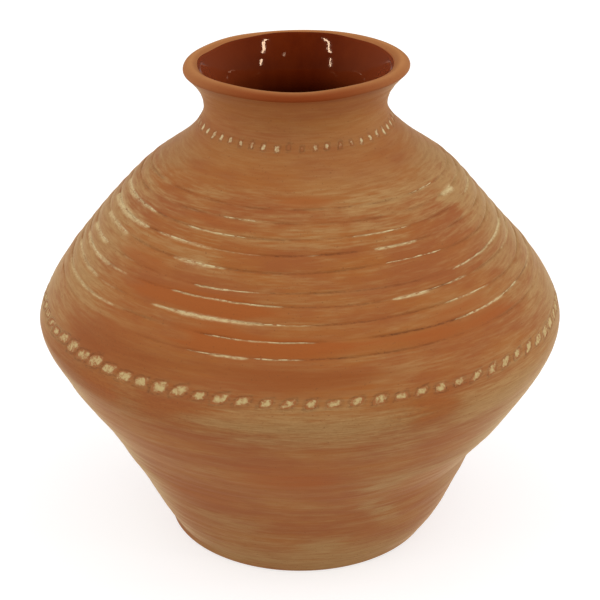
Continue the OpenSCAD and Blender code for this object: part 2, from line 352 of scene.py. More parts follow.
# %% [markdown]
# ## The outside as one surface
# The lower wall, the shoulder and the neck are separate pieces, but a potter smooths the outside as
# one. Each piece could have a Displace modifier of its own. Here one function gives the relief
# anywhere on the outside, so that neighbours meet without a step.

# %% Relief of the whole outside
# Heights of the hand's dents, of the turning ridges, of the lip's dents and of the bands between lines, in mm
DENTS, RIDGES, LIP_DENTS, BANDS = 0.25, 0.05, 0.10, 0.55
# Fullness of the left and right flanks over the plain outline, by height, in mm
FLANK_HEIGHTS = np.array([
    0, 5, 14, 24, 36, 50, 66, 76, 90, 104, 116, 126,
    136, 149, 160, 173, 185, 200, 225, 239, 255, 266, 320], float)
FLANK_LEFT = np.array([
    0, -1.6, 0.5, 1.1, 0.8, 0.4, 0.9, 0.1, -0.3, 0.5, 0.9, -0.1,
    0.1, 0.4, -0.5, 0.1, 0.4, 0.6, 0.8, 1.8, 0.8, 0, 0])
FLANK_RIGHT = np.array([
    0, 0.4, 1.5, 1.7, 0.6, -0.2, -2.6, -1.3, 1.0, 1.4, 1.7, 1.6,
    1.1, 0.2, 0.6, 1.4, 0.7, -0.5, -0.1, 1.3, 0.2, 0, 0])
# Middle of the flanks to either side of the front, and their reach, in degrees
FLANK_AT, FLANK_REACH = 80.0, 45.0


def hand_relief(s, theta):
    """Slow unevenness in mm: ripples for dents and turning ridges, plus full or pressed flanks.

    A flank's fullness is read off its table by height, and fades round the pot as a bell curve."""
    height = outline_at(s)[1]
    relief = DENTS * ripple(theta, s, 11, 14, 6, 70.0)
    relief += RIDGES * ripple(theta, s, 12, 22, 3, 5.0) * smooth(S_SEAT, S_SEAT - 12.0, s)
    relief += LIP_DENTS * ripple(theta, s, 21, 12, 11, 30.0) * smooth(S_SEAT - 4.0, S_SEAT + 3.0, s)
    for side, fullness in ((-FLANK_AT, FLANK_LEFT), (FLANK_AT, FLANK_RIGHT)):
        relief += np.interp(height, FLANK_HEIGHTS, fullness) * bump(turn_gap(theta, side), 0.0, FLANK_REACH)
    return relief * smooth(1.0, 8.0, s) * smooth(S_LIP, S_LIP - 4.0, s)


def outside_relief(s, theta, rows):
    """Height of the surface over the plain outline, in mm: the hand's relief, scored lines, bands and marks.

    s has one value a vertex, rows one a mesh row."""
    relief = hand_relief(s, theta)
    if ((rows > S_BELLY) & (rows < S_NECK)).any():
        for i, (line, depth) in enumerate(zip(LINE_S, line_depth(theta[0]))):
            crumbs = np.clip(1.0 + 0.9 * ripple(theta[0], 0.0, 120 + i, 24, 180, 50.0), 0.0, 2.6)
            relief += line_relief(rows - line, depth, crumbs)
        band = np.interp(rows, LINE_S, np.arange(len(LINE_S)))
        relief += BANDS * np.sin(np.pi * band) ** 2
    return relief + belly_ring.relief(theta, s) + neck_ring.relief(theta, s)


def outside_grid(rows, theta):
    """Points of the outside: the outline at each row, pushed along its normal by the relief."""
    s = rows[:, None] + stray_at(rows, theta)
    r, z, nr, nz = outline_at(s)
    relief = outside_relief(s, theta[None, :], rows[:, None])
    return wobble(r + nr * relief, theta[None, :], z + nz * relief)


def around(count):
    """Evenly spaced angles once round the axis, from the front."""
    return np.arange(count) * 2 * np.pi / count


print("dents round the widest ring, mm:", np.round(hand_relief(np.full(8, S_BELLY), around(8)), 1))

# %% [markdown]
# ## From a grid to a mesh
# Each wall is a closed section carried round the axis, so its grid closes on itself both ways, like
# a ring doughnut. Smooth shading needs the true direction of the surface at each point. Blender can
# work it out, but only from one piece's own faces. On the outside it is taken from the continuous
# surface, one row past each joint, so that the joints don't show as creases.

# %% Mesh builders
# Distance of the extra row past each joint, in mm
JOINT_STEP = 0.5


def make_piece(name, points, faces, node, normals=None):
    """Makes a mesh object from arrays of points and faces that stands for a CAD node."""
    mesh = bpy.data.meshes.new(name)
    mesh.from_pydata(points.reshape(-1, 3), [], faces)
    mesh.polygons.foreach_set("use_smooth", np.ones(len(mesh.polygons), bool))
    if normals is not None:
        mesh.normals_split_custom_set_from_vertices(normals.reshape(-1, 3))
    mesh.update()
    piece = bpy.data.objects.new(name, mesh)
    bpy.context.collection.objects.link(piece)
    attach(piece, "root")
    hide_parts(node)
    print(name, "has", len(mesh.polygons), "faces")
    return piece


def set_amount(piece, name, values):
    """Writes one number a point on to a piece, under a name that its material reads."""
    amount = piece.data.attributes.new(name, "FLOAT", "POINT")
    amount.data.foreach_set("value", np.asarray(values, np.float32).ravel())


def ring_faces(rows, columns, closed_rows=True):
    """Quads of a grid that closes round the axis, and, if asked, from its last row to its first."""
    k = np.arange(rows if closed_rows else rows - 1)[:, None]
    j = np.arange(columns)[None, :]
    after_k, after_j = (k + 1) % rows, (j + 1) % columns
    corners = [k * columns + j, k * columns + after_j, after_k * columns + after_j, after_k * columns + j]
    return np.stack(np.broadcast_arrays(*corners), axis=-1).reshape(-1, 4)


def unit(vectors):
    """Vectors divided by their own lengths."""
    return vectors / np.maximum(np.linalg.norm(vectors, axis=-1, keepdims=True), 1e-12)


def loop_normals(grid):
    """Direction at each point of a closed grid: round-the-axis step crossed with along-the-section step."""
    across = np.roll(grid, -1, axis=1) - np.roll(grid, 1, axis=1)
    upward = np.roll(grid, -1, axis=0) - np.roll(grid, 1, axis=0)
    return unit(np.cross(across, upward))


def wall_ring(name, outer_rows, rest, columns, node, flat_base=False):
    """A ring of wall: its outside with relief, then the rest of its section as plain points.

    rest runs from the end of the outside in along a joint, down the inside and out along the other joint."""
    theta = around(columns)
    past = np.concatenate([[outer_rows[0] - JOINT_STEP], outer_rows, [outer_rows[-1] + JOINT_STEP]])
    outside = outside_grid(past, theta)
    plain = wobble(rest[:, 0, None], theta[None, :], rest[:, 1, None])
    grid = np.concatenate([outside[1:-1], plain])
    normals = loop_normals(grid)
    across = np.roll(outside, -1, axis=1) - np.roll(outside, 1, axis=1)
    normals[:len(outer_rows)] = unit(np.cross(across[1:-1], outside[2:] - outside[:-2]))
    if flat_base:
        normals[-1] = (0.0, 0.0, -1.0)
    return make_piece(name, grid, ring_faces(*grid.shape[:2]), node, normals)


print("a closed grid of 3 rows and 4 columns has", len(ring_faces(3, 4)), "quads")

# %% [markdown]
# ## The brushed wash
# After firing, thin pale slip was brushed round the pot and rubbed off again. It stays as cream in
# the scored lines, as a tan haze on the flanks and below the marks, and it is gone from the orange
# patches that were rubbed most. The haze on the far flanks and round the foot is also painted light
# that makes them paler. Handling has scuffed and scratched the clay near the large marks. Under the
# lip the same darker coats are painted shade, and so is the dark in the lines and round the marks.
# All this could be painted with a brush tool, but as lists of strokes and patches it can be read and
# changed. Each was chosen from the photograph on the front, and by the same habits on the back. They
# become numbers on the mesh's points, which the clay's material reads.

# %% Cream in the lines
# Cream along a scored line: line, start and end in degrees from the front, width at both ends in mm, strength
CREAM_STROKES = np.array([
    [0, -26, -19, 0.6, 1.0, 0.6], [0, -20, -11, 1.3, 1.6, 1.0], [0, -10, -4, 0.7, 0.9, 0.7],
    [0, -7, 1, 0.9, 0.7, 0.8], [1, -22, -10, 0.9, 0.8, 0.7], [1, -12, 4, 1.0, 0.7, 0.8],
    [1, 38, 47, 0.9, 1.1, 0.9], [1, 46, 57, 1.1, 1.5, 0.9], [1, 58, 66, 1.5, 1.3, 0.6],
    [2, -38, -27, 1.2, 2.6, 0.9], [2, -30, -8, 2.6, 1.8, 1.0], [2, -9, 3, 1.0, 0.5, 0.7],
    [2, -60, -51, 1.6, 1.8, 0.45], [2, 37, 45, 1.1, 1.3, 0.6], [2, 44, 55, 1.4, 1.0, 0.6],
    [3, -34, -20, 1.0, 1.2, 0.9], [3, -22, -4, 1.2, 0.8, 0.9], [3, 24, 35, 1.2, 2.0, 1.0],
    [3, 41, 49, 1.2, 1.4, 0.8], [3, -84, -58, 3.4, 2.2, 0.8], [3, -60, -49, 2.2, 1.4, 0.6],
    [4, -28, -18, 1.2, 1.0, 1.0], [4, -20, -8, 0.9, 0.5, 0.6], [4, 45, 66, 1.0, 1.5, 0.8],
    [4, 65, 87, 1.3, 2.2, 1.0], [4, -56, -50, 1.2, 1.0, 0.5], [4, -84, -66, 3.6, 2.6, 0.85],
    [5, -38, -29, 1.4, 3.4, 0.75], [5, -30, -20, 3.2, 1.0, 0.8], [5, -20, -6, 0.6, 0.5, 0.4],
    [5, 25, 46, 0.9, 0.9, 0.5], [5, -80, -59, 3.6, 2.8, 0.75], [6, -86, -64, 5.0, 3.8, 0.95],
    [6, -68, -52, 3.6, 2.0, 0.9], [6, -48, -38, 1.5, 2.2, 0.7], [6, -40, -26, 2.6, 1.6, 0.75],
    [6, -27, -10, 1.2, 0.6, 0.5], [6, 23, 38, 1.6, 1.4, 0.9], [6, 2, 6, 0.7, 0.7, 0.6],
    [7, -88, -68, 3.6, 2.8, 0.9], [7, -72, -53, 2.8, 1.6, 0.85], [7, -38, -23, 1.2, 1.2, 0.85],
    [7, -24, -14, 0.8, 0.6, 0.5], [7, 17, 30, 1.1, 0.9, 0.8], [7, 31, 38, 0.8, 0.8, 0.5],
    [8, -42, -36, 1.2, 1.0, 0.4], [8, -28, -12, 1.6, 1.2, 0.35], [8, 59, 69, 2.5, 5.0, 1.0],
    [9, 45, 60, 1.6, 1.4, 0.35], [7, 74, 92, 1.6, 2.0, 0.8], [1, 75, 92, 2.0, 2.6, 0.65],
    [3, 70, 92, 1.4, 2.2, 0.65], [8, 74, 90, 1.4, 1.8, 0.45], [2, -86, -60, 3.0, 2.0, 0.75],
    [1, -84, -49, 3.0, 1.4, 0.7], [0, 112, 140, 1.6, 1.0, 0.8], [0, 205, 228, 1.2, 1.6, 0.7],
    [1, 150, 186, 1.4, 0.9, 0.8], [1, 232, 250, 1.2, 1.2, 0.6], [2, 122, 144, 2.2, 1.2, 0.9],
    [2, 238, 262, 1.4, 2.0, 0.7], [3, 165, 200, 1.2, 2.0, 0.9], [3, 100, 112, 1.4, 1.0, 0.5],
    [4, 214, 240, 2.0, 1.4, 0.8], [4, 128, 150, 1.2, 1.4, 0.6], [5, 128, 160, 1.0, 1.8, 0.8],
    [5, 190, 205, 3.0, 1.5, 0.6], [6, 186, 212, 2.4, 1.4, 0.8], [6, 96, 118, 1.4, 1.2, 0.6],
    [7, 140, 168, 1.6, 1.2, 0.8], [7, 230, 256, 2.0, 1.6, 0.7], [8, 100, 122, 1.4, 1.2, 0.6],
    [8, 222, 250, 1.6, 1.4, 0.6], [9, 172, 190, 1.4, 1.2, 0.5],
])


def strokes(theta, rows):
    """Brush strokes: full between their two ends with soft tips, and a bell curve across the line."""
    total = np.zeros((len(rows), len(theta)))
    for line, start, end, width_start, width_end, strength in CREAM_STROKES:
        from_middle = turn_gap(theta, (start + end) / 2)
        reach = (end - start) / 2
        width = np.interp(from_middle, [-reach, reach], [width_start, width_end])
        across = bump(rows[:, None] - LINE_S[int(line)] + 0.2 * width, 0.0, 0.66 * width)
        total = np.maximum(total, strength * across * smooth(1.4, -1.8, np.abs(from_middle) - reach))
    return total


print("strokes of cream:", len(CREAM_STROKES))

# %% Painted shade in the lines
# Open stretches of a scored line, painted darker as shade: line, start and end in degrees, strength
SHADED_STRETCHES = np.array([
    [0, -4, 12, 0.7], [0, 14, 34, 0.4], [1, 18, 39, 1.0], [1, 68, 79, 0.7], [2, 2, 30, 0.5],
    [3, -4, 22, 0.4], [3, 34, 42, 1.0], [4, -8, 34, 0.45], [5, -20, 20, 0.4], [6, -8, 18, 0.6],
    [7, -14, 14, 0.35], [9, 13, 21, 0.5], [6, -52, -47, 0.6], [7, -53, -48, 0.8], [1, 95, 130, 0.7],
    [3, 120, 150, 0.6], [5, 210, 235, 0.6], [2, 190, 225, 0.7], [4, 160, 205, 0.5], [6, 130, 170, 0.5],
    [0, 150, 190, 0.6], [8, 140, 200, 0.4],
])


def groove_shade(theta, rows):
    """Painted shade in the bottoms of the scored lines: a bell curve across each, as dark as the line is
    deep.

    They are darker along open stretches, and lost on the right flank."""
    total = np.zeros((len(rows), len(theta)))
    for i, (line, depth) in enumerate(zip(LINE_S, line_depth(theta))):
        dark = 0.28 * depth / LINE_DEPTH * (1.0 - 0.85 * bump(turn_gap(theta, 86.0), 0.0, 26.0))
        for _, start, end, strength in SHADED_STRETCHES[SHADED_STRETCHES[:, 0] == i]:
            gap = np.abs(turn_gap(theta, (start + end) / 2)) - (end - start) / 2
            dark = np.maximum(dark, strength * smooth(2.0, -2.0, gap))
        total += np.outer(bump(rows, line, 0.5), dark)
    return total


print("dark stretches:", len(SHADED_STRETCHES))

# %% Patches
# Tan haze, partly painted light on the far flanks and at the foot's front, which makes them paler: middle in
# degrees and in mm of height, half-size in degrees and in mm, strength
HAZE_AND_PAINTED_LIGHT_PATCHES = np.array([
    [-79, 212, 22, 46, 0.62], [78, 214, 20, 44, 0.50], [0, 146, 21, 13, 0.64], [44, 142, 12, 14, 0.65],
    [-62, 128, 9, 28, 0.40], [21, 86, 6, 8, 0.50], [8, 28, 8, 6, 0.40], [20, 66, 4, 8, 0.40],
    [24, 57, 4, 4, 0.55], [30, 46, 5, 6, 0.35], [36, 92, 12, 7, 0.40], [0, 10, 50, 16, 0.60],
    [86, 238, 12, 24, 0.40], [20, 173, 6, 7, 0.22], [40, 231, 16, 6, 0.15], [42, 244, 40, 8, 0.40],
    [-20, 241, 30, 6, 0.22], [63, 240, 6, 4, 0.90], [68, 235, 4, 4, 0.80], [0, 276, 70, 14, 0.14],
    [-30, 220, 9, 4, 0.25], [-58, 190, 12, 10, 0.15], [-86, 160, 18, 14, 0.30], [84, 165, 20, 18, 0.45],
    [24, 132, 7, 7, 0.30], [-70, 66, 20, 56, 0.75], [64, 100, 18, 46, 0.75], [-24, 44, 14, 10, 0.30],
    [22, 253, 28, 9, 0.22], [18, 123, 10, 8, 0.16],
    [110, 210, 26, 24, 0.45], [170, 232, 34, 14, 0.45], [215, 195, 24, 20, 0.40], [150, 140, 30, 12, 0.60],
    [240, 120, 22, 26, 0.45], [190, 60, 26, 20, 0.35], [120, 40, 20, 18, 0.30], [175, 12, 60, 14, 0.35],
])
# Clay made darker: scuffed by handling near the large marks, and painted shade under the lip at 304 mm: the
# same five numbers
SCUFFED_AND_SHADED_PATCHES = np.array([
    [-6, 174, 26, 7, 0.44], [-44, 170, 20, 11, 0.55], [6, 166, 16, 6, 0.28], [-58, 146, 14, 14, 0.40],
    [0, 304, 75, 4.5, 0.55],
    [150, 170, 24, 7, 0.45], [215, 168, 18, 8, 0.45],
])
# Fine dark scratches, and at 304.5 mm a thin line of painted shade under the lip: the same five numbers
SCRATCHED_AND_SHADED_PATCHES = np.array([
    [0, 144, 24, 16, 0.17], [-44, 144, 20, 16, 0.24], [150, 142, 26, 16, 0.15], [235, 144, 24, 14, 0.12],
    [0, 304.5, 80, 2.5, 0.25], [27, 148, 10, 12, 0.18], [-42, 174, 18, 9, 0.10],
])
# Clay rubbed bare: the same five numbers
RUBBED_PATCHES = np.array([
    [-40, 177, 18, 12, 0.40], [-26, 202, 24, 4, 0.80], [-9, 186, 18, 4, 0.95], [22, 186, 14, 5, 0.60],
    [45, 184, 15, 5, 0.60], [2, 250, 12, 4, 0.60], [-45, 147, 7, 11, 0.60], [27, 150, 6, 11, 0.60],
    [-29, 148, 7, 9, 0.45], [60, 244, 8, 4, 0.40], [-28, 238, 14, 4, 0.45], [-30, 68, 18, 14, 0.40],
    [0, 106, 16, 16, 0.45], [55, 217, 16, 5, 0.40], [-50, 214, 10, 7, 0.45], [22, 34, 8, 8, 0.30],
    [41, 193, 10, 4, 0.45], [-20, 200, 9, 18, 0.36], [-35, 214, 9, 16, 0.32], [-6, 184, 16, 14, 0.32],
    [-6, 94, 14, 12, 0.36], [-52, 122, 10, 12, 0.36],
    [140, 190, 20, 6, 0.60], [200, 205, 18, 6, 0.60], [165, 180, 26, 6, 0.70], [230, 172, 16, 12, 0.50],
    [100, 176, 14, 10, 0.50], [150, 100, 22, 16, 0.35], [225, 70, 20, 14, 0.35], [185, 250, 16, 4, 0.50],
])


def patches(theta, height, table):
    """Brushed ovals: strength times exp of minus the fourth power in angle, times a bell curve in height.

    A ripple that changes every few millimetres of height makes their ends ragged, as bristles do."""
    ragged = 1.6 * ripple(theta, height, 51, 24, 12, 3.0)
    total = np.zeros(np.broadcast(theta, height).shape)
    for middle, at, half_angle, half_height, strength in table:
        ends = np.exp(-((turn_gap(theta, middle) + ragged) / half_angle) ** 4)
        total += strength * ends * bump(height, at, half_height)
    return total


print("patches of haze and of bare clay:", len(HAZE_AND_PAINTED_LIGHT_PATCHES), "and", len(RUBBED_PATCHES))


# %% Painting the points
def paint(piece, outer_rows, row_count, columns):
    """Writes the amount of each coat on to the points; the inside rows count as rubbed bare."""
    theta = around(columns)
    s = outer_rows[:, None] + stray_at(outer_rows, theta)
    height = outline_at(s)[1]
    # The wash is most streaky on the upper shoulder, less so low on the wall and least on the neck.
    streaky = 0.71 + 0.29 * smooth(212.0, 228.0, height)
    streaky -= 0.71 * smooth(NECK_Z - 4.0, NECK_Z + 8.0, height)
    streaky -= 0.16 * smooth(135.0, 115.0, height)
    layers = {
        "wash_and_painted_light": patches(theta[None, :], height, HAZE_AND_PAINTED_LIGHT_PATCHES),
        "rubbed": patches(theta[None, :], height, RUBBED_PATCHES),
        "cream": strokes(theta, outer_rows),
        "scuffed_and_shaded": patches(theta[None, :], height, SCUFFED_AND_SHADED_PATCHES),
        # Painted shade in the lines, round the marks and under the lip shares this amount with real fine
        # scratches.
        "scored": groove_shade(theta, outer_rows) + patches(theta[None, :], height, SCRATCHED_AND_SHADED_PATCHES),
        "streaky": streaky,
    }
    # Round each mark lie cream where slip is left, some wash, and a dark outline of painted shade at the
    # pit's edge.
    for ring, shade_outline in ((belly_ring, 0.46), (neck_ring, 0.36)):
        level, mark = ring.level(theta[None, :], s)
        layers["cream"] = np.maximum(layers["cream"], 0.50 * ring.slip[mark] * smooth(1.25, 0.90, level))
        layers["wash_and_painted_light"] += 0.15 * bump(level, 1.2, 0.25)
        layers["scored"] += shade_outline * bump(level, 1.25, 0.20)
    for name, amount in layers.items():
        values = np.full((row_count, len(theta)), float(name == "rubbed"), np.float32)
        values[:len(outer_rows)] = np.clip(amount, 0.0, 1.0)
        set_amount(piece, name, values)


print("amounts on the points: wash, rubbed, cream, scuffed, scored and streaky")

# %% [markdown]
# ## The sections of wall
# Two sections meet in a luted joint: both faces were scored, wetted and pressed on to a ring of slip,
# which the clay then closed over. So each joint face has a notch that holds half of the slip. The
# shoulder needs the finest mesh, and its rows crowd round each scored line and round the marks. A
# Screw modifier could turn a plain section, but not one that strays.

# %% Joints and the inside
LUTE_T, LUTE_COVER = 1.2, 2.0


def notch(seam, seam_inside, side):
    """Four points of a joint face from the outside in: the face, the notch's two corners, the face again."""
    across = unit(seam_inside - seam)
    rise = side * LUTE_T / 2 * np.array([across[1], -across[0]])
    near, far = seam + LUTE_COVER * across, seam_inside - LUTE_COVER * across
    return np.array([near, near + rise, far + rise, far])


def inside_at(s):
    """Points on the inside of the wall, straight in from the outline at distances s."""
    r, z, nr, nz = outline_at(s)
    return np.stack([r - nr * WALL, z - nz * WALL], axis=1)


def inside_of_flare(count):
    """Bezier curve up the inside of the flare, from the throat to the lip's seat."""
    below_lip = lip_seat_inside - LIP_HANDLE * lean_step(LIP_LEAN)
    return bezier(throat_inside, throat_inside + THROAT_HANDLE * up, below_lip, lip_seat_inside, count)


belly_inside, neck_inside = inside_at(np.array([S_BELLY, S_NECK]))
throat_inside = throat - np.array([WALL, 0.0])
print("inside of the widest ring at radius and height, mm:", np.round(belly_inside, 1))

# %% Shoulder
WALL_COLUMNS = 640
# Rows lie close together up to this distance from the middle of the marks, in mm
MARK_REACH = 5.6
line_offsets = np.array([-1.7, -0.95, -0.42, 0.0, 0.42, 0.95, 1.7])
between = (LINE_S[:-1, None] + (LINE_S[1:] - LINE_S[:-1])[:, None] * np.array([0.33, 0.5, 0.67])).ravel()
shoulder_rows = np.sort(np.concatenate([
    np.linspace(S_BELLY, belly_ring.s - MARK_REACH, 8, endpoint=False),
    np.linspace(belly_ring.s - MARK_REACH, belly_ring.s + MARK_REACH, 15, endpoint=False),
    np.linspace(belly_ring.s + MARK_REACH, LINE_S[0] - LINE_REACH, 8, endpoint=False),
    (LINE_S[:, None] + line_offsets).ravel(),
    between,
    np.linspace(LINE_S[-1] + 2.6, S_NECK, 3),
]))
shoulder_rest = np.vstack([
    notch(neck, neck_inside, -1),
    inside_at(np.linspace(S_NECK, S_BELLY, 12)),
    notch(belly, belly_inside, 1)[::-1],
])
shoulder = wall_ring(
    "shoulder_wall_clay", shoulder_rows, shoulder_rest, WALL_COLUMNS, "shoulder_wall")
paint(shoulder, shoulder_rows, len(shoulder_rows) + len(shoulder_rest), WALL_COLUMNS)

# %% Neck
NECK_COLUMNS = 588
neck_rows = np.linspace(S_NECK, S_SEAT, 84)
neck_rest = np.vstack([
    notch(lip_seat, lip_seat_inside, -1),
    inside_of_flare(13)[::-1],
    inside_at(np.linspace(S_THROAT, S_NECK, 13))[1:],
    notch(neck, neck_inside, 1)[::-1],
])
neck_collar = wall_ring(
    "neck_collar_clay", neck_rows, neck_rest, NECK_COLUMNS, "neck_collar")
paint(neck_collar, neck_rows, len(neck_rows) + len(neck_rest), NECK_COLUMNS)

# %% [markdown]
# The lower wall is plainer. At its bottom the section follows the CAD part's own step, on which the
# floor slab rests, and a rounded corner where a finger smoothed floor and wall into each other. The
# CAD wall could stay, but it is turned true, and this one leans and swells with its neighbours.

# %% Lower wall
SLAB_R, SEAT_R, SLAB_STEP = 65.0, 73.0, 4.5
CORNER_R, FLOOR_T = 6.0, 10.0


def inside_corner():
    """Rounded corner between floor and wall: where it leaves the wall, and an arc that touches both."""
    s = np.linspace(0.0, S_BELLY, 4000)
    r, z, nr, nz = outline_at(s)
    k = np.abs(z - nz * (WALL + CORNER_R) - (FLOOR_T + CORNER_R)).argmin()
    centre = np.array([r[k] - nr[k] * (WALL + CORNER_R), FLOOR_T + CORNER_R])
    return s[k], arc(centre, CORNER_R, CORNER_R, -np.pi / 2, np.arctan2(nz[k], nr[k]), 7)


corner_s, corner_points = inside_corner()
lower_rows = np.concatenate([np.linspace(0.0, S_FOOT, 7)[:-1], np.linspace(S_FOOT, S_BELLY, 100)])
slab_step = np.array([[SEAT_R, FLOOR_T], [SEAT_R, SLAB_STEP], [SLAB_R, SLAB_STEP], [SLAB_R, 0.0]])
lower_rest = np.vstack([
    notch(belly, belly_inside, -1),
    inside_at(np.linspace(S_BELLY, corner_s, 12)),
    corner_points[::-1][1:],
    slab_step,
])
lower = wall_ring(
    "lower_wall_clay", lower_rows, lower_rest, WALL_COLUMNS, "lower_wall", flat_base=True)
paint(lower, lower_rows, len(lower_rows) + len(lower_rest), WALL_COLUMNS)

# %% [markdown]
# ## The rolled lip
# The lip is a coil of clay, pressed flat on to the neck and smoothed with a wet finger. Its section
# is half an ellipse on a slanting seat, where a torus would be too round. It has no wash. Its clay is
# darkest at the front, on the outer face below its top: partly rubbed by hands, and partly painted
# shade where that face turns away from the light above. The glaze's edge climbs on to it at the back.

# %% Lip
LIP_COLUMNS = 480
lip_rows = np.linspace(S_SEAT, S_LIP, 32)
lip_rest = notch(lip_seat, lip_seat_inside, 1)[::-1]
lip = wall_ring("rim_coil_clay", lip_rows, lip_rest, LIP_COLUMNS, "rim_coil")
lip_theta = around(LIP_COLUMNS)
# Darker clay on the lip, by an amount on its points: rubbed clay and painted shade, most at the front and on
# the outer face below the top, and darker again near the inner edge.
rubbed_and_shaded_front = 0.15 + 0.85 * bump(turn_gap(lip_theta, 0.0), 0.0, 72.0)
bare = rubbed_and_shaded_front * (1.0 - 0.60 * smooth(S_SEAT + 3.0, S_SEAT + 9.0, lip_rows))[:, None]
bare = np.maximum(bare, 0.45 * smooth(S_LIP - 6.0, S_LIP - 1.5, lip_rows)[:, None])
bare = np.vstack([bare, np.ones((len(lip_rest), LIP_COLUMNS))])
set_amount(lip, "bare", np.clip(bare, 0.0, 1.0))

# %% [markdown]
# ## Joining slip
# Between two sections lies the ring of slip that glued them. It is sealed inside the wall and never
# shows. The CAD rings could stay, but the wall round them wobbles, so they are made again from the
# same numbers.

# %% Rings of joining slip
LUTE_COLUMNS = 240


def lute_piece(name, seam, seam_inside, node):
    """A closed ring of four corners: the notches of both joint faces put together."""
    section = np.vstack([notch(seam, seam_inside, -1)[1:3], notch(seam, seam_inside, 1)[2:0:-1]])
    grid = wobble(section[::-1, 0, None], around(LUTE_COLUMNS)[None, :], section[::-1, 1, None])
    return make_piece(name, grid, ring_faces(len(section), LUTE_COLUMNS), node)


lutes = [
    lute_piece("belly_lute_ring", belly, belly_inside, "belly_lute"),
    lute_piece("neck_lute_ring", neck, neck_inside, "neck_lute"),
    lute_piece("rim_lute_ring", lip_seat, lip_seat_inside, "rim_lute"),
]

# %% [markdown]
# ## The glaze inside
# Glaze was poured in, swilled round and poured out. It covers the clay in a skin that follows the
# throwing rings. Its uneven edge runs just under the lip at the front and right, at the lip's seat at
# the left and up on the lip at the back. At the sides of the neck a lighter brown is painted on it as
# painted light, for the light those walls catch. A Solidify modifier could give it its thickness, but
# not an edge that thins out. The skin is closed: its outer face lies on the clay, both faces meet at
# the edge, and each ends in a point on the axis.

# %% Both faces of the glaze
GLAZE_T = 0.8
GLAZE_COLUMNS = 320
# Radius of the first ring of points on the floor, and how near to the edge points are drawn back, in mm
FIRST_RING, EDGE_REACH = 4.0, 20.0
# Distance along the wall where the rows get fine, and the lip from its inner seat part of the way up
S_FINE = S_NECK - 12.0
lip_inner = lip_arc[:-40:-1]


def spread(points, spacing):
    """The same line with points at an even spacing."""
    run = np.concatenate([[0.0], np.cumsum(np.hypot(*np.diff(points, axis=0).T))])
    at = np.linspace(0.0, run[-1], int(run[-1] / spacing) + 1)
    return np.stack([np.interp(at, run, points[:, 0]), np.interp(at, run, points[:, 1])], axis=1)


def glaze_faces():
    """Both faces of the glaze: the clay's inside up to an uneven edge at the lip, and that plus the skin.

    The line runs on up the lip. Each column is drawn back by the gap between its end and the edge there."""
    theta = around(GLAZE_COLUMNS)[None, :]
    floor_line = np.array([[FIRST_RING, FLOOR_T], [corner_points[0, 0], FLOOR_T]])
    bowl = inside_at(np.linspace(corner_s, S_FINE, 600))
    collar = np.vstack([inside_at(np.linspace(S_FINE, S_THROAT, 200))[:-1], inside_of_flare(400)])
    line = np.vstack([
        spread(floor_line, 9.0)[:-1],
        corner_points[:-1],
        spread(bowl, 5.0)[:-1],
        spread(collar, 1.2)[:-1],
        spread(lip_inner, 0.5),
    ])
    run = np.concatenate([[0.0], np.cumsum(np.hypot(*np.diff(line, axis=0).T))])[:, None]
    climb = 3.0 * bump(turn_gap(theta, 180.0), 0.0, 62.0) + 1.3 * bump(turn_gap(theta, -90.0), 0.0, 40.0)
    climb = climb - 1.4 + 0.2 * ripple(theta, 0.0, 33, 8, 12, 50.0)
    gap = np.hypot(*np.diff(lip_inner, axis=0).T).sum() - climb
    s = run - np.clip(1.0 - (run[-1] - run) / EDGE_REACH, 0.0, 1.0) * gap
    r = np.interp(s, run[:, 0], line[:, 0])
    z = np.interp(s, run[:, 0], line[:, 1])
    slope = unit(np.stack([np.gradient(r, axis=0), np.gradient(z, axis=0)], axis=-1))
    to_edge = s[-1] - s
    rings = 0.03 * ripple(theta, s, 31, 16, 2, 8.0) + 0.03 * ripple(theta, s, 32, 16, 14, 18.0)
    skin = GLAZE_T * smooth(-0.4, 2.0, to_edge)
    skin = skin + rings * smooth(2.0, 8.0, to_edge) * smooth(10.0, 60.0, s)
    return wobble(r, theta, z), wobble(r - slope[..., 1] * skin, theta, z + slope[..., 0] * skin)


clay_face, glaze_face = glaze_faces()
print("each face of the glaze has", len(clay_face), "rows of", GLAZE_COLUMNS, "points")

# %% Glaze as one closed skin
grid = np.concatenate([clay_face, glaze_face[::-1]])
rows = len(grid)
poles = np.array([[0.0, 0.0, FLOOR_T], [0.0, 0.0, FLOOR_T + GLAZE_T]]) * METRES
column = np.arange(GLAZE_COLUMNS)
after = (column + 1) % GLAZE_COLUMNS
last = (rows - 1) * GLAZE_COLUMNS
under_cap = np.stack([np.full(GLAZE_COLUMNS, rows * GLAZE_COLUMNS), after, column], axis=1)
top_cap = np.stack([np.full(GLAZE_COLUMNS, rows * GLAZE_COLUMNS + 1), last + column, last + after], axis=1)
quads = ring_faces(rows, GLAZE_COLUMNS, closed_rows=False)
glaze_skin = make_piece(
    "glaze_lining_skin", np.vstack([grid.reshape(-1, 3), poles]),
    quads.tolist() + under_cap.tolist() + top_cap.tolist(), "glaze_lining")
# Painted light: the skin's colour is lighter at the sides, from the middle of the line up.
painted_side_light = np.sin(around(GLAZE_COLUMNS)) ** 2 * smooth(0.50, 0.75, np.linspace(0.0, 1.0, len(clay_face)))[:, None]
painted_side_light = np.concatenate([painted_side_light.ravel(), painted_side_light[::-1].ravel(), [0.0, 0.0]])
set_amount(glaze_skin, "painted_side_light", painted_side_light)

# %% [markdown]
# ## Pale slip in the marks and lines
# In each mark lies a pad of dry slip that nearly fills it and is worn off at its edge. A pad is a small
# disc: rings of points from its middle to its edge on top, and back to the middle underneath. All
# pads of a ring are worked out at once, where copies of one pad would look alike. In the scored lines
# the slip lies in long thin runs, which are strips with pointed ends.

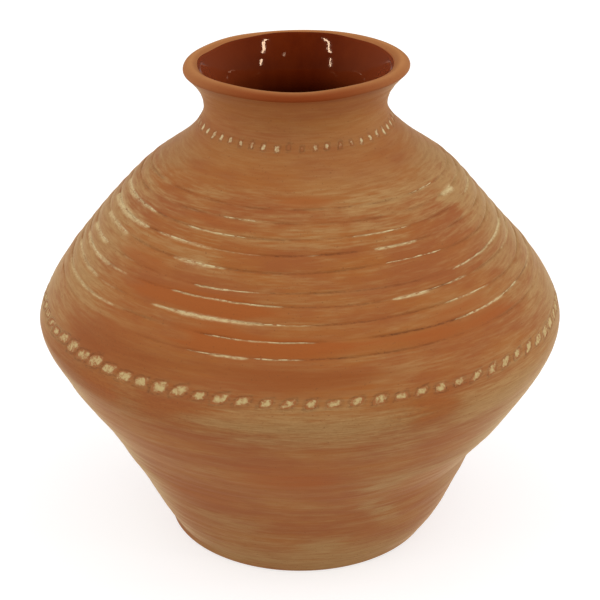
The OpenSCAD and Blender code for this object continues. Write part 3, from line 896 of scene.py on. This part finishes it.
# %% Pads of slip
def on_outside(s, theta, push):
    """Points on the plain outline at any distances and angles, pushed out along its normal."""
    r, z, nr, nz = outline_at(s)
    return wobble(r + nr * push, theta, z + nz * push)


# Rings of a pad's points, from the middle of its top over the edge to its underside: share of the mark's
# half size, share of its depth, and how worn the slip is
PAD_SHARE = np.array([0.35, 0.68, 0.90, 1.02, 1.10, 1.16, 0.6])
PAD_FILL = np.array([0.92, 0.90, 0.86, 0.85, 0.90, 0.80, -0.10])
PAD_WORN = np.array([0.0, 0.25, 0.8, 1.0, 1.0, 1.0, 1.0])
PAD_SPOKES = 14


def pad_points(ring, seed):
    """Points of all pads of a ring: a superellipse scaled from the middle to the edge, nearly flat on top.

    Its edge is ragged, its top has small lumps, and it leans as its mark does."""
    random = np.random.default_rng(seed)
    share, fill = PAD_SHARE[None, :, None], PAD_FILL[None, :, None]
    angle = np.arange(PAD_SPOKES) * 2 * np.pi / PAD_SPOKES
    power = (np.cos(angle) ** 4 + np.sin(angle) ** 4) ** -0.25
    ragged = power * random.uniform(0.94, 1.14, (ring.count, 1, PAD_SPOKES))
    kept = 0.6 + 0.4 * ring.slip
    u = share * ragged * np.cos(angle) * (ring.half_w * kept)[:, None, None]
    v = share * ragged * np.sin(angle) * (ring.half_h * kept)[:, None, None]
    lumps = random.normal(0.0, 0.10, u.shape) * (fill > 0)
    floor = hand_relief(np.full(ring.count, ring.s), ring.theta) - ring.depth
    height = floor[:, None, None] + ring.depth[:, None, None] * (fill + lumps)
    lean, lift = ring.lean[:, None, None], ring.lift[:, None, None]
    across = (u + lean * v) / (1.0 - lean * lift)
    rise = (v + lift * u) / (1.0 - lean * lift)
    s = ring.s + ring.rise[:, None, None] + rise
    angle_at = ring.theta[:, None, None] + across / ring.radius
    rims = on_outside(s, angle_at, height).reshape(ring.count, -1, 3)
    middle_s = ring.s + ring.rise[:, None]
    pushes = np.stack([floor + PAD_FILL[0] * ring.depth, floor + PAD_FILL[-1] * ring.depth], axis=1)
    middles = on_outside(middle_s, ring.theta[:, None], pushes)
    return np.concatenate([rims, middles], axis=1)


def pad_faces(count):
    """Faces of that many pads: quads from each ring of points to the next, and a fan at both middles."""
    size = len(PAD_SHARE) * PAD_SPOKES + 2
    j = np.arange(PAD_SPOKES)
    after = (j + 1) % PAD_SPOKES
    inner = np.arange(len(PAD_SHARE) - 1)[:, None] * PAD_SPOKES
    outer = inner + PAD_SPOKES
    quads = np.stack([inner + j, outer + j, outer + after, inner + after], axis=-1).reshape(-1, 4)
    low = (len(PAD_SHARE) - 1) * PAD_SPOKES
    cap = np.stack([np.full(PAD_SPOKES, size - 2), j, after], axis=1)
    base = np.stack([np.full(PAD_SPOKES, size - 1), low + after, low + j], axis=1)
    shift = np.arange(count)[:, None, None] * size
    faces = []
    for part in (quads, cap, base):
        faces += (part[None] + shift).reshape(-1, part.shape[1]).tolist()
    return faces


def slip_pads(name, ring, seed, node):
    """All pads of a ring as one piece, more worn towards their edges and where the mark lost its slip."""
    piece = make_piece(name, pad_points(ring, seed), pad_faces(ring.count), node)
    edge = np.concatenate([np.repeat(PAD_WORN, PAD_SPOKES), [0.0, 1.0]])
    set_amount(piece, "worn", edge[None, :] + 1.5 * (1.0 - ring.slip)[:, None])
    return piece


belly_pads = slip_pads("belly_mark_slip_pads", belly_ring, 71, "belly_mark_slip")
neck_pads = slip_pads("neck_mark_slip_pads", neck_ring, 72, "neck_mark_slip")

# %% Runs of slip in the lines
# Line, start and end in degrees from the front
SLIP_RUNS = [
    (0, -25, 0), (0, 112, 140), (0, 205, 228), (1, -22, 2), (1, 38, 66), (1, 150, 186),
    (2, -36, 2), (2, 38, 54), (2, 122, 144), (2, 238, 262), (3, -80, -64), (3, -33, -4),
    (3, 24, 48), (3, 165, 200), (4, -77, -66), (4, -28, -10), (4, 46, 84), (4, 214, 240),
    (5, -70, -60), (5, -36, -22), (5, 25, 45), (5, 128, 160), (6, -82, -52), (6, -47, -34),
    (6, 23, 38), (6, 186, 212), (7, -84, -53), (7, -38, -17), (7, 17, 37), (7, 140, 168),
    (8, -27, -14), (8, 100, 122), (8, 222, 250), (9, 45, 60), (9, 172, 190),
]


def slip_run(line, start, end, seed):
    """Strip along a line: six points across, wide on top and narrow below, pointed at both ends.

    Gives its points, its faces and how worn each point is."""
    theta = np.radians(np.linspace(start, end, int(2 * (end - start)) + 1))
    taper = np.sqrt(np.clip(np.minimum(np.arange(len(theta)), np.arange(len(theta))[::-1]) / 4.0, 0.0, 1.0))
    width = taper * (0.55 + 0.30 * ripple(theta, 0.0, seed, 9, 90, 50.0))
    depth = line_depth(theta)[line]
    section = np.array([-1.0, -0.45, 0.45, 1.0, 0.35, -0.35])[:, None]
    across = section * np.clip(width, 0.02, 1.1) * LINE_HALF * 0.45
    full = np.array([0.55, 0.46, 0.46, 0.55, 1.15, 1.15])[:, None]
    middle = LINE_S[line] + line_stray(theta)[line]
    points = on_outside(middle + across, theta, hand_relief(middle, theta) - full * depth)
    count = len(theta)
    k = np.arange(len(section))[:, None]
    j = np.arange(count - 1)[None, :]
    after = (k + 1) % len(section)
    corners = [k * count + j, k * count + j + 1, after * count + j + 1, after * count + j]
    sides = np.stack(np.broadcast_arrays(*corners), axis=-1).reshape(-1, 4)
    low = (k[:, 0] * count).tolist()
    high = [v + count - 1 for v in low][::-1]
    worn = 0.9 * smooth(0.2, 1.6, ripple(theta, 0.0, seed + 100, 12, 160, 50.0))
    return points.reshape(-1, 3), sides.tolist() + [low, high], np.tile(worn, len(section))


points, faces, worn = [], [], []
for number, (line, start, end) in enumerate(SLIP_RUNS):
    run_points, run_faces, run_worn = slip_run(line, start, end, 200 + number)
    first = sum(len(p) for p in points)
    points.append(run_points)
    worn.append(run_worn)
    faces += [[v + first for v in f] for f in run_faces]
line_slip = make_piece("line_slip_runs", np.vstack(points), faces, "line_slip")
set_amount(line_slip, "worn", np.concatenate(worn))

# %% [markdown]
# ## Materials
# All finishes are built from nodes. Colours are written as the hex values that a picture shows, and
# one function turns them to the linear values that light works with. One function adds a node.

# %% Colour and node helpers
def colour(code):
    """Linear RGBA from an sRGB hex code: the sRGB curve undone for each channel."""
    srgb = np.array([int(code[i:i + 2], 16) for i in (1, 3, 5)]) / 255.0
    linear = np.where(srgb <= 0.04045, srgb / 12.92, ((srgb + 0.055) / 1.055) ** 2.4)
    return (*linear.tolist(), 1.0)


def add_node(tree, kind, inputs=None, **settings):
    """Adds a node with its settings; each input takes a plain value or another node's socket."""
    node = tree.nodes.new(kind)
    for key, value in settings.items():
        setattr(node, key, value)
    for key, value in (inputs or {}).items():
        if isinstance(value, bpy.types.NodeSocket):
            tree.links.new(value, node.inputs[key])
        else:
            node.inputs[key].default_value = value
    return node


def per_metre(*sizes):
    """Scale of a pattern from the sizes of its features in mm: how many of each fit into a metre."""
    scales = tuple(1000.0 / size for size in sizes)
    return scales if len(scales) > 1 else scales[0]


def new_material(name):
    """A material with its tree, its main shader and its Object coordinates."""
    material = bpy.data.materials.new(name)
    material.use_nodes = True
    tree = material.node_tree
    coordinates = add_node(tree, "ShaderNodeTexCoord").outputs["Object"]
    return material, tree, tree.nodes["Principled BSDF"], coordinates


# Sockets of the Mix node when it mixes colours
MIX_FACTOR, MIX_A, MIX_B, MIX_OUT = 0, 6, 7, 2
print("orange clay as linear light:", np.round(colour("#9e5d26")[:3], 3))

# %% [markdown]
# ### Slip-washed terracotta
# Low-fired red clay is matte and a little gritty. Over it lies the brushed wash. The brush left
# streaks round the pot, about 60 mm long and 5 mm apart, with thinner strands between them, and its
# bristles left finer ones. So the noise is stretched along the ring: its features are long in X and
# Y and short in Z. The amounts painted on the mesh say where wash, cream and bare clay are, and where
# painted shade and painted light lie, and the streaks break them up. Dry dust makes the clay paler
# where it turns away, which is the sheen. An image texture could hold all this, but noise stays sharp
# at any distance.

# %% Patterns of the washed clay
# Size of a pattern's features in X, Y and Z in mm, its detail and its roughness.
# Real grit is about 0.3 mm across, too fine to show, so it is drawn at 1.1 mm.
WASH_PATTERNS = {
    "streaks": ((62.5, 62.5, 4.75), 6.0, 0.62),
    "strands": ((40.0, 40.0, 2.4), 3.0, 0.60),
    "bristles": ((12.5, 12.5, 1.0), 5.0, 0.60),
    "clouds": ((66.0, 66.0, 16.5), 5.0, 0.60),
    "scratches": ((2.6, 2.6, 0.67), 4.0, 0.70),
    "grit": ((1.1, 1.1, 1.1), 2.0, 0.60),
}
# Weighted sums of patterns: what the sum starts from, and each pattern's weight
WASH_SUMS = {
    "uneven": (-2.77, {"clouds": 1.3, "bristles": 1.5, "strands": 1.1, "streaks": 1.5}),
    "rubbing": (-0.80, {"bristles": 0.5, "streaks": 1.1}),
    "flaking": (-0.40, {"bristles": 0.8, "scratches": 1.4}),
    "opening": (-1.40, {"scratches": 4.0}),
    "ridges": (0.0, {"grit": 0.25, "bristles": 0.5, "streaks": 0.5}),
}
# How an amount painted on the points joins a sum, and the range of the result that goes from none to full
WASH_AMOUNTS = {
    "wash_and_painted_light": ("uneven", "ADD", -0.30, 0.80, "SMOOTHSTEP"),
    "rubbed": ("rubbing", "ADD", 0.20, 0.80, "SMOOTHSTEP"),
    "scuffed_and_shaded": ("rubbing", "ADD", 0.10, 0.75, "SMOOTHSTEP"),
    "cream": ("flaking", "MULTIPLY", 0.10, 0.95, "SMOOTHSTEP"),
    "scored": ("opening", "MULTIPLY", 0.0, 1.0, "LINEAR"),
}
# Range of a pattern alone that goes from none to full
WASH_SPOTS = {"clouds": (0.35, 0.65), "bristles": (0.30, 0.70), "grit": (0.62, 0.80)}
# Coats from the clay up: name, what mixes it, the colour or coat below and the one above
WASH_COATS = [
    ("clay", "clouds", "#965427", "#9e5d26"),
    # The haze tone is also painted light, where the far flanks and the foot are made paler.
    ("haze and painted light", "bristles", "#a07645", "#ac8250"),
    ("clay with haze and painted light", "wash_and_painted_light", "clay", "haze and painted light"),
    ("rubbed clay", "rubbed", "clay with haze and painted light", "#9d541f"),
    # The scuffed tone is also painted shade under the lip.
    ("scuffed and shaded clay", "scuffed_and_shaded", "rubbed clay", "#914e1e"),
    ("gritty clay", "grit", "scuffed and shaded clay", "#7a4822"),
    # Its dark brown is painted shade in the lines, round the marks and under the lip, and the colour of fine
    # scratches.
    ("scored clay", "scored", "gritty clay", "#5c3014"),
    ("finish", "cream", "scored clay", "#cdb685"),
]
print("washed clay:", len(WASH_PATTERNS), "patterns and", len(WASH_COATS), "coats")


# %% Slip-washed terracotta
def washed_terracotta():
    """Matte clay under its coats, each mixed in by a painted amount that a sum of patterns breaks up."""
    material, tree, shader, place = new_material("slip-washed terracotta")
    noise, sums, amounts, coats = {}, {}, {}, {}
    for name, (sizes, detail, roughness) in WASH_PATTERNS.items():
        stretched = add_node(tree, "ShaderNodeMapping", {"Vector": place, "Scale": per_metre(*sizes)})
        noise[name] = add_node(tree, "ShaderNodeTexNoise", {
            "Vector": stretched.outputs["Vector"], "Scale": 1.0, "Detail": detail, "Roughness": roughness,
        }).outputs["Fac"]
    for name, (total, weights) in WASH_SUMS.items():
        for pattern, weight in weights.items():
            total = add_node(tree, "ShaderNodeMath", {
                0: noise[pattern], 1: weight, 2: total}, operation="MULTIPLY_ADD").outputs[0]
        sums[name] = total
    streaky = add_node(tree, "ShaderNodeAttribute", attribute_name="streaky").outputs["Fac"]
    sums["uneven"] = add_node(tree, "ShaderNodeMath", {
        0: sums["uneven"], 1: streaky}, operation="MULTIPLY").outputs[0]
    for name, (sum_name, join, low, high, curve) in WASH_AMOUNTS.items():
        painted = add_node(tree, "ShaderNodeAttribute", attribute_name=name).outputs["Fac"]
        joined = add_node(tree, "ShaderNodeMath", {0: painted, 1: sums[sum_name]}, operation=join)
        amounts[name] = add_node(tree, "ShaderNodeMapRange", {
            "Value": joined.outputs[0], "From Min": low, "From Max": high,
        }, interpolation_type=curve).outputs["Result"]
    for name, (low, high) in WASH_SPOTS.items():
        amounts[name] = add_node(tree, "ShaderNodeMapRange", {
            "Value": noise[name], "From Min": low, "From Max": high,
        }, interpolation_type="SMOOTHSTEP").outputs["Result"]
    for name, amount, below, above in WASH_COATS:
        under, over = [coats[coat] if coat in coats else colour(coat) for coat in (below, above)]
        coats[name] = add_node(tree, "ShaderNodeMix", {
            MIX_FACTOR: amounts[amount], MIX_A: under, MIX_B: over}, data_type="RGBA").outputs[MIX_OUT]
    relief = add_node(tree, "ShaderNodeBump", {"Strength": 0.4, "Distance": 0.0005, "Height": sums["ridges"]})
    tree.links.new(coats["finish"], shader.inputs["Base Color"])
    tree.links.new(relief.outputs["Normal"], shader.inputs["Normal"])
    shader.inputs["Roughness"].default_value = 0.8
    shader.inputs["Specular IOR Level"].default_value = 0.25
    shader.inputs["Sheen Weight"].default_value = 0.90
    shader.inputs["Sheen Roughness"].default_value = 0.25
    shader.inputs["Sheen Tint"].default_value = colour("#ecd2ac")
    return material


terracotta = washed_terracotta()
for piece in (shoulder, neck_collar, lower):
    piece.data.materials.append(terracotta)
print("washed terracotta has", len(terracotta.node_tree.nodes), "nodes")

# %% [markdown]
# ### Bare terracotta
# The lip, the floor's underside and the joining slip never had a wash. They show the clay itself,
# with soft clouds where the fire was hotter, fine grit, and small dark specks. The lip is darker by
# the amount on its points, partly rubbed clay and partly painted shade. An image could show one of
# these places, but noise suits them all.

# %% Bare terracotta
def bare_terracotta(name, light, dark, roughness):
    """Clouds between two tones of clay, then specks where the grit is high, then a darker tone for rubbed
    clay and painted shade.

    Real grit is about 0.3 mm across, too fine to show, so it is drawn at 1.1 mm."""
    material, tree, shader, place = new_material(name)
    clouds = add_node(tree, "ShaderNodeTexNoise", {
        "Vector": place, "Scale": per_metre(22.0), "Detail": 5.0, "Roughness": 0.6})
    grit = add_node(tree, "ShaderNodeTexNoise", {"Vector": place, "Scale": per_metre(1.1), "Detail": 2.0})
    mixed = add_node(tree, "ShaderNodeMix", {
        MIX_FACTOR: clouds.outputs["Fac"], MIX_A: colour(dark), MIX_B: colour(light)}, data_type="RGBA")
    specks = add_node(tree, "ShaderNodeMapRange", {
        "Value": grit.outputs["Fac"], "From Min": 0.64, "From Max": 0.80, "To Max": 0.6})
    speckled = add_node(tree, "ShaderNodeMix", {
        MIX_FACTOR: specks.outputs["Result"], MIX_A: mixed.outputs[MIX_OUT], MIX_B: colour("#5e3319"),
    }, data_type="RGBA")
    # Rubbed clay and painted shade: a darker tone by the amount on the lip's points.
    bare = add_node(tree, "ShaderNodeAttribute", attribute_name="bare")
    rubbed = add_node(tree, "ShaderNodeMix", {
        MIX_FACTOR: bare.outputs["Fac"], MIX_A: speckled.outputs[MIX_OUT], MIX_B: colour("#80380e"),
    }, data_type="RGBA")
    relief = add_node(tree, "ShaderNodeBump", {
        "Strength": 0.25, "Distance": 0.0004, "Height": grit.outputs["Fac"]})
    tree.links.new(rubbed.outputs[MIX_OUT], shader.inputs["Base Color"])
    tree.links.new(relief.outputs["Normal"], shader.inputs["Normal"])
    shader.inputs["Roughness"].default_value = roughness
    shader.inputs["Specular IOR Level"].default_value = 0.12
    return material


lip_clay = bare_terracotta("wet-smoothed bare terracotta", "#c28754", "#b27640", 0.7)
raw_clay = bare_terracotta("raw fired terracotta", "#a5683f", "#874c2a", 0.85)
lip.data.materials.append(lip_clay)
for piece in lutes:
    piece.data.materials.append(raw_clay)
for name in ("floor_slab", "floor_lute"):
    node_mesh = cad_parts[name].data
    node_mesh.materials.clear()
    node_mesh.materials.append(raw_clay)
print("bare clay:", lip_clay.name, "and", raw_clay.name)

# %% [markdown]
# ### Brown lead-type glaze
# A clear honey glaze over red clay looks deep red-brown, darker where it pools. At the sides of the
# neck a lighter brown is painted in as painted light. It is smooth and has a high refractive index,
# about 1.65, so lamps show in it as bright bars. Real glass over clay could be traced, but its colour
# alone needs far fewer samples.

# %% Brown glaze
def brown_glaze():
    """Two browns mixed by the sum of round pools and upright drips, then a lighter one painted at the sides
    as painted light.
    """
    material, tree, shader, place = new_material("brown lead-type glaze")
    pools = add_node(tree, "ShaderNodeTexNoise", {"Vector": place, "Scale": per_metre(25.0), "Detail": 4.0})
    runs = add_node(tree, "ShaderNodeMapping", {"Vector": place, "Scale": per_metre(6.25, 6.25, 40.0)})
    drips = add_node(tree, "ShaderNodeTexNoise", {
        "Vector": runs.outputs["Vector"], "Scale": 1.0, "Detail": 3.0})
    depth = add_node(tree, "ShaderNodeMath", {
        0: pools.outputs["Fac"], 1: drips.outputs["Fac"]}, operation="ADD")
    shade = add_node(tree, "ShaderNodeMapRange", {
        "Value": depth.outputs[0], "From Min": 0.75, "From Max": 1.3})
    mixed = add_node(tree, "ShaderNodeMix", {
        MIX_FACTOR: shade.outputs["Result"], MIX_A: colour("#571804"), MIX_B: colour("#642106"),
    }, data_type="RGBA")
    # Painted light: a lighter brown at the sides of the neck, by the amount on the skin's points.
    painted_side_light = add_node(tree, "ShaderNodeAttribute", attribute_name="painted_side_light")
    mixed = add_node(tree, "ShaderNodeMix", {
        MIX_FACTOR: painted_side_light.outputs["Fac"], MIX_A: mixed.outputs[MIX_OUT], MIX_B: colour("#7a3418"),
    }, data_type="RGBA")
    relief = add_node(tree, "ShaderNodeBump", {
        "Strength": 0.15, "Distance": 0.0006, "Height": drips.outputs["Fac"]})
    tree.links.new(mixed.outputs[MIX_OUT], shader.inputs["Base Color"])
    tree.links.new(relief.outputs["Normal"], shader.inputs["Normal"])
    shader.inputs["Roughness"].default_value = 0.06
    shader.inputs["IOR"].default_value = 1.65
    # The warm tint keeps faint reflections of white paper from looking blue on the brown.
    shader.inputs["Specular Tint"].default_value = colour("#ffdcb8")
    return material


glaze = brown_glaze()
glaze_skin.data.materials.append(glaze)
print("glaze has", len(glaze.node_tree.nodes), "nodes")

# %% [markdown]
# ### Pale slip
# Slip is fine clay in water, here a pale one. Dry, it is chalky and full of small flakes, and the
# clay shows through where it has worn off. In the large marks it was rubbed, and is darker. The
# flakes could be modelled, but at this size noise shows as much.

# %% Pale slip
def pale_slip(name, tone):
    """Flakes of slip of one tone, with the clay between them where the worn amount is high."""
    material, tree, shader, place = new_material(name)
    flakes = add_node(tree, "ShaderNodeTexNoise", {
        "Vector": place, "Scale": per_metre(2.4), "Detail": 4.0, "Roughness": 0.7})
    edge = add_node(tree, "ShaderNodeAttribute", attribute_name="worn")
    left = add_node(tree, "ShaderNodeMath", {
        0: edge.outputs["Fac"], 1: -0.20, 2: flakes.outputs["Fac"]}, operation="MULTIPLY_ADD")
    whole = add_node(tree, "ShaderNodeMapRange", {
        "Value": left.outputs[0], "From Min": 0.24, "From Max": 0.56}, interpolation_type="SMOOTHSTEP")
    mixed = add_node(tree, "ShaderNodeMix", {
        MIX_FACTOR: whole.outputs["Result"], MIX_A: colour("#9a5c2c"), MIX_B: colour(tone)}, data_type="RGBA")
    relief = add_node(tree, "ShaderNodeBump", {
        "Strength": 0.5, "Distance": 0.0006, "Height": flakes.outputs["Fac"]})
    tree.links.new(mixed.outputs[MIX_OUT], shader.inputs["Base Color"])
    tree.links.new(relief.outputs["Normal"], shader.inputs["Normal"])
    shader.inputs["Roughness"].default_value = 0.9
    return material


slip = pale_slip("chalky pale slip", "#cdb98a")
for piece in (neck_pads, line_slip):
    piece.data.materials.append(slip)
rubbed_slip = pale_slip("rubbed pale slip", "#c0a872")
belly_pads.data.materials.append(rubbed_slip)
print("pale slip:", slip.name, "and", rubbed_slip.name)

# %% [markdown]
# ## Floor and light
# The vase stands on white paper. An upper and a lower strip lamp stand at the front left and the
# front right, with a small one between, and show as bars in the glaze. White paper all round gives
# most of the light, more of it from the sides. Big lamps could stand for that paper, but the world
# gives it with less noise. The floor looks white and keeps a soft shadow.

# %% White paper floor
# Half the paper's width in metres, its own glow, and the glow added where it is seen or mirrored
PAPER_HALF, PAPER_GLOW, PAPER_SEEN = 4, 0.26, 0.34
paper_mesh = bpy.data.meshes.new("paper")
paper_corners = PAPER_HALF * np.array([(-1, -1, 0), (1, -1, 0), (1, 1, 0), (-1, 1, 0)])
paper_mesh.from_pydata(paper_corners.tolist(), [], [(0, 1, 2, 3)])
paper = bpy.data.objects.new("paper", paper_mesh)
bpy.context.collection.objects.link(paper)
material, tree, shader, _ = new_material("white paper")
path = add_node(tree, "ShaderNodeLightPath")
shader.inputs["Base Color"].default_value = colour("#c4c4c4")
shader.inputs["Roughness"].default_value = 0.9
shader.inputs["Specular IOR Level"].default_value = 0.0
shader.inputs["Emission Color"].default_value = colour("#ffffff")
seen = add_node(tree, "ShaderNodeMath", {
    0: path.outputs["Is Camera Ray"], 1: path.outputs["Is Glossy Ray"]}, operation="MAXIMUM")
seen = add_node(tree, "ShaderNodeMath", {
    0: seen.outputs[0], 1: path.outputs["Is Transmission Ray"]}, operation="MAXIMUM")
lift = add_node(tree, "ShaderNodeMath", {
    0: seen.outputs[0], 1: PAPER_SEEN, 2: PAPER_GLOW}, operation="MULTIPLY_ADD")
tree.links.new(lift.outputs[0], shader.inputs["Emission Strength"])
paper_mesh.materials.append(material)
print("paper is", 2 * PAPER_HALF, "m wide")

# %% Strip lamps
LAMP_AIM, LAMP_DISTANCE = Vector((0.0, 0.0, 0.16)), 1.6
# Name, azimuth and elevation in degrees, width and height in metres, power in watts
STRIPS = [
    ("upper strip right", 53.0, 54.0, 0.07, 0.50, 1.8),
    ("lower strip right", 52.0, 27.0, 0.07, 0.32, 1.2),
    ("upper strip left", -54.0, 54.0, 0.05, 0.50, 1.3),
    ("lower strip left", -52.0, 27.0, 0.05, 0.32, 0.8),
    ("small strip", 17.0, 43.0, 0.04, 0.22, 0.11),
]


def strip_lamp(name, azimuth, elevation, width, tall, power):
    """A rectangular lamp that faces the vase; azimuth is from the front towards +X, in degrees."""
    data = bpy.data.lights.new(name, "AREA")
    data.shape = "RECTANGLE"
    data.size = width
    data.size_y = tall
    data.energy = power
    lamp = bpy.data.objects.new(name, data)
    bpy.context.collection.objects.link(lamp)
    a, e = np.radians(azimuth), np.radians(elevation)
    away = Vector((np.sin(a) * np.cos(e), -np.cos(a) * np.cos(e), np.sin(e)))
    lamp.location = LAMP_AIM + LAMP_DISTANCE * away
    lamp.rotation_euler = (LAMP_AIM - lamp.location).to_track_quat("-Z", "Y").to_euler()


for strip in STRIPS:
    strip_lamp(*strip)

# %% Light of the white paper all round
# Its strength: even, plus a share of the square of X for the sides, plus a share of Z from above
TENT_EVEN, TENT_SIDES, TENT_ABOVE = 0.30, 1.3, 0.50
# What the glaze mirrors instead: a pale wall that fades out up to this Z, and a little more at the sides
WALL_LOW, WALL_HIGH, WALL_TOP, WALL_SIDES = 0.6, 0.03, 0.18, 0.04
world = bpy.data.worlds.new("studio")
bpy.context.scene.world = world
world.use_nodes = True
tree = world.node_tree
tree.nodes.clear()
path = add_node(tree, "ShaderNodeLightPath")
direction = add_node(tree, "ShaderNodeTexCoord")
split = add_node(tree, "ShaderNodeSeparateXYZ", {"Vector": direction.outputs["Generated"]})
dim = add_node(tree, "ShaderNodeMapRange", {
    "Value": split.outputs["Z"], "From Min": 0.0, "From Max": WALL_TOP,
    "To Min": WALL_LOW, "To Max": WALL_HIGH,
}, interpolation_type="SMOOTHSTEP")
seen = add_node(tree, "ShaderNodeMath", {
    0: path.outputs["Is Glossy Ray"], 1: path.outputs["Is Transmission Ray"]}, operation="MAXIMUM")
across = add_node(tree, "ShaderNodeMath", {
    0: split.outputs["X"], 1: split.outputs["X"]}, operation="MULTIPLY")
tent = add_node(tree, "ShaderNodeMath", {
    0: across.outputs[0], 1: TENT_SIDES, 2: TENT_EVEN}, operation="MULTIPLY_ADD")
tent = add_node(tree, "ShaderNodeMath", {
    0: split.outputs["Z"], 1: TENT_ABOVE, 2: tent.outputs[0]}, operation="MULTIPLY_ADD")
even = add_node(tree, "ShaderNodeBackground", {"Color": colour("#ffffff"), "Strength": tent.outputs[0]})
glow = add_node(tree, "ShaderNodeMath", {
    0: across.outputs[0], 1: WALL_SIDES, 2: dim.outputs["Result"]}, operation="MULTIPLY_ADD")
walls = add_node(tree, "ShaderNodeBackground", {"Color": colour("#ffffff"), "Strength": glow.outputs[0]})
white = add_node(tree, "ShaderNodeBackground", {"Color": colour("#ffffff"), "Strength": 1.0})
shown = add_node(tree, "ShaderNodeMixShader", {0: seen.outputs[0], 1: even.outputs[0], 2: walls.outputs[0]})
final = add_node(tree, "ShaderNodeMixShader", {
    0: path.outputs["Is Camera Ray"], 1: shown.outputs[0], 2: white.outputs[0]})
add_node(tree, "ShaderNodeOutputWorld", {"Surface": final.outputs[0]})
bpy.context.scene.view_settings.view_transform = "Standard"
print("world has", len(tree.nodes), "nodes")
